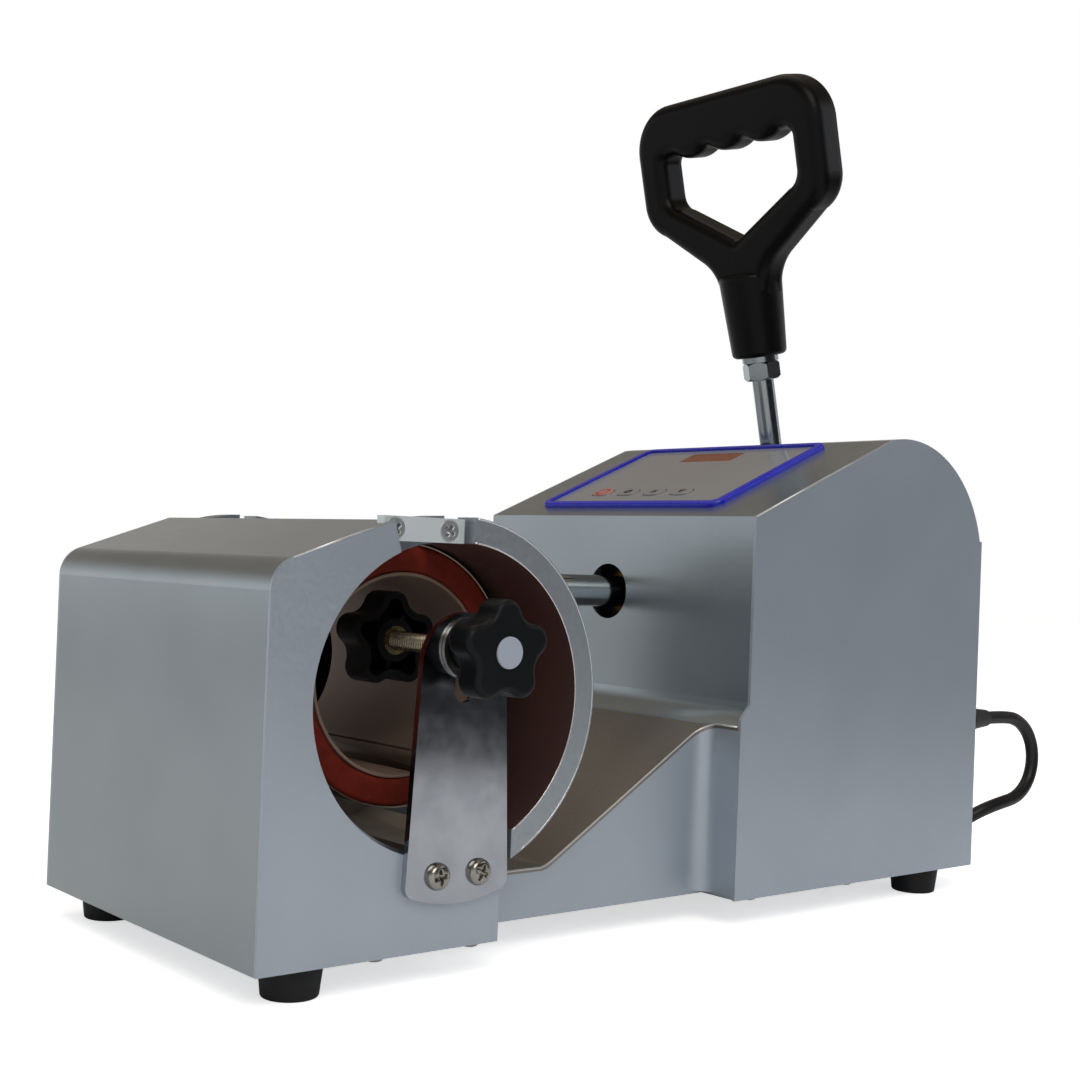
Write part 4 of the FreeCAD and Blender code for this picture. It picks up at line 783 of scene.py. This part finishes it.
@dataclass
class MugStop:
    """Plated bracket with a threaded rod, a clamping knob in front and a stop knob inside the heater."""

    axis: Tuple[float, float] = (86.5, 118.0)
    rod_radius: float = 4.0
    rod_front: float = -26.0
    rod_back: float = 58.0
    pitch: float = 1.25
    thread_deep: float = 0.62
    bracket_face: float = -3.0
    screw_z: float = 29.7
    screw_x: Tuple[float, float] = (76.5, 96.5)
    screw_head: ScrewHead = ScrewHead(5.4, 3.2, recess_deep=2.4)
    screw_turn: Tuple[float, float] = (0.2, 0.9)
    steps_per_pitch: int = 8
    around: int = 48
    end_taper: float = 1.0

    def rod(self) -> bpy.types.Object:
        """Makes the threaded rod.

        At depth y and angle a the radius falls from the crest by the thread's depth, as a triangle wave in
        y / pitch - a / 2 pi, and the ends taper off.

        Returns:
            The rod.
        """
        depth = np.arange(self.rod_front, self.rod_back, self.pitch / self.steps_per_pitch)[:, None]
        angle = round_trip(self.around)[None, :]
        phase = np.mod(depth / self.pitch - angle / FULL_TURN, 1.0)
        ends = np.clip(np.minimum(depth - self.rod_front, self.rod_back - depth) / self.end_taper, 0.0, 1.0)
        reach = self.rod_radius - self.thread_deep * np.maximum(np.abs(2 * phase - 1), 1.0 - ends)
        rings = np.stack([self.axis[0] + reach * np.cos(angle), depth * np.ones_like(angle),
                          self.axis[1] + reach * np.sin(angle)], -1)
        return skin("stop_rod_thread", to_frame(rings[:, ::-1]), True)

    def build(self) -> None:
        """Dresses the stop and makes its thread and screw heads."""
        dress(BRIGHT_PLATE, "stop_bracket")
        dress(BLACK_PHENOLIC, "front_knob", "stop_knob")
        dress(GREY_CAP, "knob_cap")
        dress(YELLOW_ZINC, "stop_insert")
        dress(NICKEL_SCREW, "stop_nut", "stop_washers")
        thread = place_piece(self.rod(), PALE_ZINC, "stop_carriage")
        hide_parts("stop_rod")
        heads = [self.screw_head.build("bracket_head", (x, self.bracket_face, self.screw_z), (0.0, -1.0, 0.0),
                                       self.screw_turn[0] + self.screw_turn[1] * i)
                 for i, x in enumerate(self.screw_x)]
        screws = place_piece(joined("bracket_screw_heads", heads), NICKEL_SCREW, "root")
        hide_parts("bracket_screws")


@dataclass
class Panel:
    """Panel on the control housing's slope, with its key prints and the electronics behind it."""

    foot: Tuple[float, float] = (256.8, 177.5)
    crest: Tuple[float, float] = (354.5, 220.3)
    key_row: float = 31.0
    key_top: float = 1.9
    print_lift: float = 0.03
    print_around: int = 48
    power_ring: Tuple[float, float] = (2.9, 4.3)
    set_ring: Tuple[float, float] = (0.7, 2.6)
    arrow_size: float = 2.6
    arrow_back: float = 0.7
    keys: Dict[str, float] = field(default_factory=lambda: {"power": 141.0, "set": 121.0, "up": 101.0, "down": 81.0})

    def on_slope(self, along: np.ndarray, across: np.ndarray, lift: np.ndarray) -> np.ndarray:
        """Lays panel points on the slope.

        Args:
            along: Distance up the slope from its foot.
            across: Depth on the drawing.
            lift: Height off the slope.

        Returns:
            The points on the drawing.
        """
        run = np.array([self.crest[0] - self.foot[0], self.crest[1] - self.foot[1]])
        run = run / np.linalg.norm(run)
        return np.stack([self.foot[0] + along * run[0] - lift * run[1], across,
                         self.foot[1] + along * run[1] + lift * run[0]], -1)

    def ring_print(self, name: str, across: float, radii: Tuple[float, float]) -> bpy.types.Object:
        """Makes a ring printed on a key: a flat loop between two radii, a few hundredths thick.

        Args:
            name: The new object's name.
            across: Depth of its middle on the drawing.
            radii: Inner and outer radius.

        Returns:
            The ring.
        """
        angle = round_trip(self.print_around)[:, None]
        reach = np.array([radii[0], radii[1], radii[1], radii[0]])[None, :]
        rise = np.array([0.0, 0.0, self.print_lift, self.print_lift])[None, :] + self.key_top
        points = self.on_slope(self.key_row + reach * np.cos(angle), across + reach * np.sin(angle),
                               rise * np.ones_like(angle))
        return skin(name, to_frame(points[:, ::-1]), False)

    def arrow_print(self, name: str, across: float, tip: float) -> bpy.types.Object:
        """Makes a printed triangle on a key, pointing up or down the slope.

        Args:
            name: The new object's name.
            across: Depth of its middle on the drawing.
            tip: 1 for a tip that points up the slope, -1 for down.

        Returns:
            The triangle.
        """
        size = tip * self.arrow_size
        corners = np.array([[size, 0.0], [-size * self.arrow_back, size], [-size * self.arrow_back, -size]])
        rings = [self.on_slope(self.key_row + corners[:, 0], across + corners[:, 1],
                               np.full(3, self.key_top + rise)) for rise in (0.0, self.print_lift)]
        return skin(name, to_frame(np.stack(rings)), True)

    def build(self) -> None:
        """Dresses the panel and makes the prints on its keys."""
        dress(BLUE_ABS, "panel_bezel")
        dress(PANEL_FILM, "panel_overlay")
        dress(TINTED_WINDOW, "display_window")
        dress(RED_KEY_FILM, "key_power")
        dress(KEY_FILM, "key_set", "key_up", "key_down")
        dress(GREEN_LAMINATE, "control_board")
        dress(BLACK_MODULE, "display_module")
        dress(RELAY_CASE, "power_relay")
        dress(NYLON_BLOCK, "terminal_block")
        prints = [(self.ring_print("power_key_ring", self.keys["power"], self.power_ring), RED_INK, "power"),
                  (self.ring_print("set_key_dot", self.keys["set"], self.set_ring), DARK_INK, "set"),
                  (self.arrow_print("up_key_arrow", self.keys["up"], 1.0), DARK_INK, "up"),
                  (self.arrow_print("down_key_arrow", self.keys["down"], -1.0), DARK_INK, "down")]
        for piece, ink, key in prints:
            place_piece(piece, ink, "key_" + key)


@dataclass
class Lever:
    """Lever with its moulded D-handle, rod, nut and the pivot inside the housing."""

    def build(self) -> None:
        """Dresses the lever."""
        dress(BLACK_ABS, "lever_handle")
        dress(BLUE_ZINC, "lever_rod", "lever_nut")
        dress(MILLED_STEEL, "lever_arm", "crank_pin", "pivot_bracket", "pivot_pin")


@dataclass
class MainsLead:
    """Mains lead: strain relief, free loop, coil put away behind the machine, tie and plug."""

    diameter: float = 7.0
    length: float = 1460.0
    coil_middle: Tuple[float, float] = (492.0, 116.0)
    coil_low: float = -8.2
    coil_start: float = 47.62
    coil_pitch: float = 7.6
    half_turns: int = 5
    points_per_half: int = 8
    lead_out: float = 31.0
    lead_out_shares: Tuple[float, float] = (0.35, 1.0)
    route: Tuple[Point, ...] = ((458.8, 15, 76), (474.2, 15, 76.2), (489.3, 14.8, 74.6), (501.1, 14.5, 66.0),
                                (505.7, 14.2, 52.5), (501.1, 13.8, 38.9), (489.3, 13.4, 30.6), (474.0, 13.6, 28.6),
                                (459.5, 17.0, 24.5), (449.0, 26.0, 15.5), (444.8, 40.0, 5.0), (445.5, 55.5, -3.0),
                                (447.3, 72.0, -7.6), (446.8, 88.0, -8.2), (445.2, 103.0, -8.2))
    plug_long: float = 48.0
    plug_neck: float = 14.0
    plug_half: Tuple[float, float] = (12.9, 12.0)
    plug_edge: float = 2.2
    plug_steps: int = 120
    plug_around: int = 72
    stem_wall: float = 1.0
    neck_flare: float = 3.0
    swell_lead: float = 2.0
    swell_run: float = 8.0
    waist_share: float = 0.68
    waist_run: float = 5.0
    waist_deep: float = 1.0
    box_power: float = 2.0
    rib_deep: float = 0.5
    rib_pitch: float = 3.2
    tie_middle: Tuple[float, float] = (532.07, -4.4)
    tie_half: Tuple[float, float] = (11.95, 8.0)
    tie_bend: float = 4.0
    tie_thick: float = 1.0
    tie_wide: float = 9.0
    tie_y: float = 122.5
    tie_corner_steps: int = 9
    tie_around: int = 24

    @staticmethod
    def ease(depth: np.ndarray, low: float, high: float) -> np.ndarray:
        """Rises smoothly from 0 at low to 1 at high, as 3 t^2 - 2 t^3.

        Args:
            depth: Where the rise is wanted.
            low: Where it starts.
            high: Where it ends.

        Returns:
            The rise at each depth.
        """
        share = np.clip((depth - low) / (high - low), 0.0, 1.0)
        return share * share * (3.0 - 2.0 * share)

    def coil(self) -> np.ndarray:
        """Works out the coil: half turns that spiral in, climb one layer and spiral out on top.

        Each half turn is a half circle; its control points stand out a little so that the spline runs on it.

        Returns:
            The coil's control points on the drawing.
        """
        shrink = [self.coil_start - self.coil_pitch / 2 * k for k in range(self.half_turns + 1)]
        radii = shrink + [shrink[-1] + self.coil_pitch / 2 * (k + 1) for k in range(self.half_turns - 1)]
        step = math.pi / self.points_per_half
        out = 1.0 / (0.75 + 0.25 * math.cos(step))
        here = np.array([self.coil_middle[0] - self.coil_start, self.coil_middle[1] + self.diameter, self.coil_low])
        points = [here - [0.0, self.diameter, 0.0]]
        share = (np.arange(self.points_per_half) + 0.5) / self.points_per_half
        for index, radius in enumerate(radii):
            sign = 1.0 if index % 2 == 0 else -1.0
            climb = self.coil_pitch if index == self.half_turns else 0.0
            middle = here + [sign * radius, 0.0, 0.0]
            turn = share[:, None] * math.pi
            swing = np.concatenate([-sign * np.cos(turn), sign * np.sin(turn), np.zeros_like(turn)], 1)
            rise = np.concatenate([np.zeros_like(turn), np.zeros_like(turn), climb * share[:, None]], 1)
            points.extend(middle + radius * out * swing + rise)
            here = here + [sign * 2 * radius, 0.0, climb]
        points.extend(here + [0.0, self.lead_out * way, 0.0] for way in self.lead_out_shares)
        return np.array(points)

    def moulded_plug(self, start: np.ndarray) -> bpy.types.Object:
        """Makes the plug's body: superellipse sections whose half sizes follow a smooth profile along it.

        The neck is round, with ribs as a sine on its radius. The grip swells to a rounded box, draws in a little
        for the fingers and ends in a face with a rounded edge.

        Args:
            start: Where the lead ends on the drawing.

        Returns:
            The plug's body.
        """
        depth = np.linspace(0.0, self.plug_long, self.plug_steps)[:, None]
        neck = self.ease(depth, 0.0, self.plug_neck)
        swell = self.ease(depth, self.plug_neck - self.swell_lead, self.plug_neck + self.swell_run)
        waist = np.exp(-np.square((depth - self.waist_share * self.plug_long) / self.waist_run))
        ribs = self.rib_deep * np.sin(depth * FULL_TURN / self.rib_pitch) * (1.0 - swell)
        over = np.clip((depth - self.plug_long + self.plug_edge) / self.plug_edge, 0.0, 1.0)
        inset = self.plug_edge * (1.0 - np.sqrt(1.0 - np.square(over)))
        stem = self.diameter / 2 + self.stem_wall + self.neck_flare * neck + ribs - inset
        full = self.diameter / 2 + self.stem_wall + self.neck_flare
        wide = stem + (self.plug_half[0] - full) * swell - self.waist_deep * waist
        high = stem + (self.plug_half[1] - full) * swell
        power = 2.0 / (2.0 + self.box_power * swell)
        angle = round_trip(self.plug_around)[None, :]
        cosine, sine = np.cos(angle), np.sin(angle)
        rings = np.stack([start[0] + wide * np.sign(cosine) * np.abs(cosine) ** power,
                          start[1] + depth * np.ones_like(angle),
                          start[2] + high * np.sign(sine) * np.abs(sine) ** power], -1)
        return skin("plug_moulding", to_frame(rings[:, ::-1]), True)

    def strap(self) -> bpy.types.Object:
        """Makes the tie: a flat strap with rounded edges, carried round the coil's side as a rounded rectangle.

        Returns:
            The strap.
        """
        quarter = np.linspace(0.0, QUARTER_TURN, self.tie_corner_steps)
        turn = np.concatenate([quarter + k * QUARTER_TURN for k in range(4)])
        side = np.repeat(np.array([[1.0, 1.0], [-1.0, 1.0], [-1.0, -1.0], [1.0, -1.0]]), len(quarter), 0)
        way = np.stack([np.cos(turn), np.sin(turn)], -1)
        corner = np.array(self.tie_middle) + side * (np.array(self.tie_half) - self.tie_bend)
        edge = round_trip(self.tie_around)
        across = self.tie_wide / 2 * np.sign(np.cos(edge)) * np.sqrt(np.abs(np.cos(edge)))
        lift = self.tie_thick / 2 * np.sign(np.sin(edge)) * np.sqrt(np.abs(np.sin(edge)))
        spot = corner[:, None, :] + (self.tie_bend + lift)[None, :, None] * way[:, None, :]
        rings = np.stack([spot[..., 0], self.tie_y + across[None, :] * np.ones((len(turn), 1)), spot[..., 1]], -1)
        return skin("coil_strap", to_frame(rings[:, ::-1]), False)

    def build(self) -> None:
        points = to_frame(np.concatenate([np.array(self.route), self.coil()]))
        curve = bpy.data.curves.new("mains_lead", "CURVE")
        curve.dimensions = "3D"
        spline = curve.splines.new("NURBS")
        spline.points.add(len(points) - 1)
        spline.points.foreach_set("co", np.concatenate([points, np.ones((len(points), 1))], 1).ravel())
        spline.order_u = 3
        spline.use_endpoint_u = True
        spline.resolution_u = 6
        curve.bevel_depth = self.diameter / 2 * MM
        curve.bevel_resolution = 5
        curve.use_fill_caps = True
        lead = bpy.data.objects.new("mains_lead", curve)
        bpy.context.scene.collection.objects.link(lead)
        place_piece(lead, PVC_SHEATH, "root")
        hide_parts("power_cord", "cord_coil")
        dress(PVC_SHEATH, "cord_gland")
        dress(PLATED_BLADE, "plug_blades")
        plug = place_piece(self.moulded_plug(self.coil()[-1]), PVC_SHEATH, "root")
        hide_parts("plug")
        strap = place_piece(self.strap(), PVC_SHEATH, "root")
        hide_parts("coil_tie")


@dataclass(frozen=True)
class Lamp:
    """A square soft lamp: where it stands, what it points at, its side, its power in watts and its colour."""

    name: str
    spot: Point
    aim: Point
    size: float
    power: float
    colour: str


@dataclass
class Studio:
    """Camera at the photograph's place, soft lamps, pale floor and a white background."""

    place: Point = (-291.12, -500.28, 153.90)
    yaw: float = 0.693
    pitch: float = -0.012
    roll: float = 0.038
    lens: float = 53.07
    sensor: float = 36.0
    ambient: float = 0.42
    floor_colour: str = "#f4f4f4"
    floor_lift: float = 0.62
    ceiling: str = "#807467"
    ceiling_from: float = 0.03
    ceiling_to: float = 0.4
    screen_middle: Tuple[float, float] = (0.26, -0.56)
    screen_way: Tuple[float, float] = (0.77, 0.64)
    screen_half: float = 0.5
    screen_height: float = 0.42
    screen_low: float = 0.002
    screen_colour: str = "#1b1b20"
    matt: float = 0.9
    floor_half: float = 6.0
    near_clip: float = 0.01
    lamps: Tuple[Lamp, ...] = (Lamp("key_lamp", (-0.9, -1.5, 1.7), (0.0, 0.0, 0.15), 1.3, 20.0, "#fffaf2"),
                               Lamp("fill_lamp", (1.6, -1.3, 0.9), (0.05, 0.0, 0.15), 1.4, 9.0, "#f2f6ff"),
                               Lamp("top_lamp", (0.1, 0.5, 2.1), (0.0, 0.0, 0.1), 1.6, 7.0, "#fff4e6"))

    def matt_material(self, piece: bpy.types.Object, name: str, colour: str) -> bpy.types.NodeTree:
        """Gives a studio piece a plain matt material.

        Args:
            piece: The floor or the screen.
            name: The material's name.
            colour: Its colour.

        Returns:
            The material's node tree.
        """
        made = bpy.data.materials.new(name)
        made.use_nodes = True
        shader = made.node_tree.nodes["Principled BSDF"]
        shader.inputs["Base Color"].default_value = hex_linear(colour)
        shader.inputs["Roughness"].default_value = self.matt
        piece.data.materials.append(made)
        return made.node_tree

    def screen(self) -> None:
        """Stands a dark screen in front on the right, which only reflections see: bright metal mirrors it."""
        middle, way = np.array(self.screen_middle), np.array(self.screen_way)
        ends = np.stack([middle - self.screen_half * way, middle + self.screen_half * way])
        low = np.concatenate([ends, np.full((2, 1), self.screen_low)], 1)
        high = np.concatenate([ends[::-1], np.full((2, 1), self.screen_height)], 1)
        cloth = place_mesh("dark_screen", np.concatenate([low, high]), [(0, 1, 2, 3)], False)
        self.matt_material(cloth, "dark_studio_cloth", self.screen_colour)
        for ray in ("camera", "diffuse", "transmission", "volume_scatter", "shadow"):
            setattr(cloth, "visible_" + ray, False)

    def camera(self) -> None:
        """Sets the camera from its place, heading, tilt and roll."""
        ahead = np.array([math.sin(self.yaw) * math.cos(self.pitch), math.cos(self.yaw) * math.cos(self.pitch),
                          -math.sin(self.pitch)])
        level = np.array([math.cos(self.yaw), -math.sin(self.yaw), 0.0])
        above = np.cross(level, ahead)
        right = math.cos(self.roll) * level + math.sin(self.roll) * above
        up = -math.sin(self.roll) * level + math.cos(self.roll) * above
        turned = Matrix(np.stack([right, up, -ahead], 1).tolist()).to_4x4()
        data = bpy.data.cameras.new("studio_camera")
        data.lens = self.lens
        data.sensor_width = self.sensor
        data.clip_start = self.near_clip
        eye = bpy.data.objects.new("studio_camera", data)
        eye.matrix_world = Matrix.Translation(to_frame(np.array(self.place)).tolist()) @ turned
        bpy.context.scene.collection.objects.link(eye)
        bpy.context.scene.camera = eye

    def light(self, lamp: Lamp) -> None:
        """Adds a lamp, turned to what it points at.

        Args:
            lamp: What it is and where, in metres.
        """
        data = bpy.data.lights.new(lamp.name, "AREA")
        data.size = lamp.size
        data.energy = lamp.power
        data.color = hex_linear(lamp.colour)[:3]
        made = bpy.data.objects.new(lamp.name, data)
        ahead = np.array(lamp.aim) - np.array(lamp.spot)
        ahead /= np.linalg.norm(ahead)
        right = np.cross(ahead, [0.0, 0.0, 1.0])
        right /= np.linalg.norm(right)
        turned = Matrix(np.stack([right, np.cross(right, ahead), -ahead], 1).tolist()).to_4x4()
        made.matrix_world = Matrix.Translation(lamp.spot) @ turned
        bpy.context.scene.collection.objects.link(made)

    def background(self) -> None:
        """Makes a world that is white to the eye and softer as a lamp, with a warm ceiling high in reflections."""
        world = bpy.data.worlds.new("white_studio")
        bpy.context.scene.world = world
        world.use_nodes = True
        tree = world.node_tree
        tree.nodes.clear()
        path = add_node(tree, "ShaderNodeLightPath", {}, {})
        seen = add_node(tree, "ShaderNodeMath", {"operation": "MAXIMUM"},
                        {0: path.outputs["Is Camera Ray"], 1: path.outputs["Is Glossy Ray"]})
        through = add_node(tree, "ShaderNodeMath", {"operation": "MAXIMUM"},
                           {0: seen.outputs[0], 1: path.outputs["Is Transmission Ray"]})
        strength = add_node(tree, "ShaderNodeMapRange", {},
                            {"Value": through.outputs[0], "To Min": self.ambient, "To Max": 1.0})
        way = add_node(tree, "ShaderNodeTexCoord", {}, {})
        parts = add_node(tree, "ShaderNodeSeparateXYZ", {}, {"Vector": way.outputs["Generated"]})
        height = add_node(tree, "ShaderNodeMapRange", {},
                          {"Value": parts.outputs["Z"], "From Min": self.ceiling_from, "From Max": self.ceiling_to})
        above = add_node(tree, "ShaderNodeMath", {"operation": "MULTIPLY"},
                         {0: height.outputs["Result"], 1: path.outputs["Is Glossy Ray"]})
        tint = add_node(tree, "ShaderNodeMix", {"data_type": "RGBA"},
                        {"Factor": above.outputs[0], "A": (1.0, 1.0, 1.0, 1.0), "B": hex_linear(self.ceiling)})
        light = add_node(tree, "ShaderNodeBackground", {},
                         {"Color": tint.outputs["Result"], "Strength": strength.outputs["Result"]})
        add_node(tree, "ShaderNodeOutputWorld", {}, {"Surface": light.outputs[0]})

    def floor(self) -> None:
        """Lays a wide pale floor that keeps the object's shadow and is lifted to white for the eye."""
        corners = np.array([(-1.0, -1.0, 0.0), (1.0, -1.0, 0.0), (1.0, 1.0, 0.0), (-1.0, 1.0, 0.0)])
        ground = place_mesh("studio_floor", self.floor_half * corners, [(0, 1, 2, 3)], False)
        tree = self.matt_material(ground, "pale_studio_floor", self.floor_colour)
        shader = tree.nodes["Principled BSDF"]
        shader.inputs["Emission Color"].default_value = (1.0, 1.0, 1.0, 1.0)
        path = add_node(tree, "ShaderNodeLightPath", {}, {})
        lift = add_node(tree, "ShaderNodeMapRange", {},
                        {"Value": path.outputs["Is Camera Ray"], "To Max": self.floor_lift})
        tree.links.new(lift.outputs["Result"], shader.inputs["Emission Strength"])

    def build(self) -> None:
        """Sets up the whole studio."""
        bpy.context.scene.view_settings.view_transform = "Standard"
        self.camera()
        self.background()
        self.floor()
        self.screen()
        for lamp in self.lamps:
            self.light(lamp)


def main() -> None:
    """Builds the sub-assemblies in order."""
    logging.basicConfig(level=logging.INFO, format="%(message)s")
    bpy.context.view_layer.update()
    Studio().build()
    for assembly in (MainsLead(), Housing(), Clamp(), HeaterWrap(), MugStop(), Panel(), Lever()):
        assembly.build()
        log.info("built %s", type(assembly).__name__)


if __name__ == "__main__":
    main()
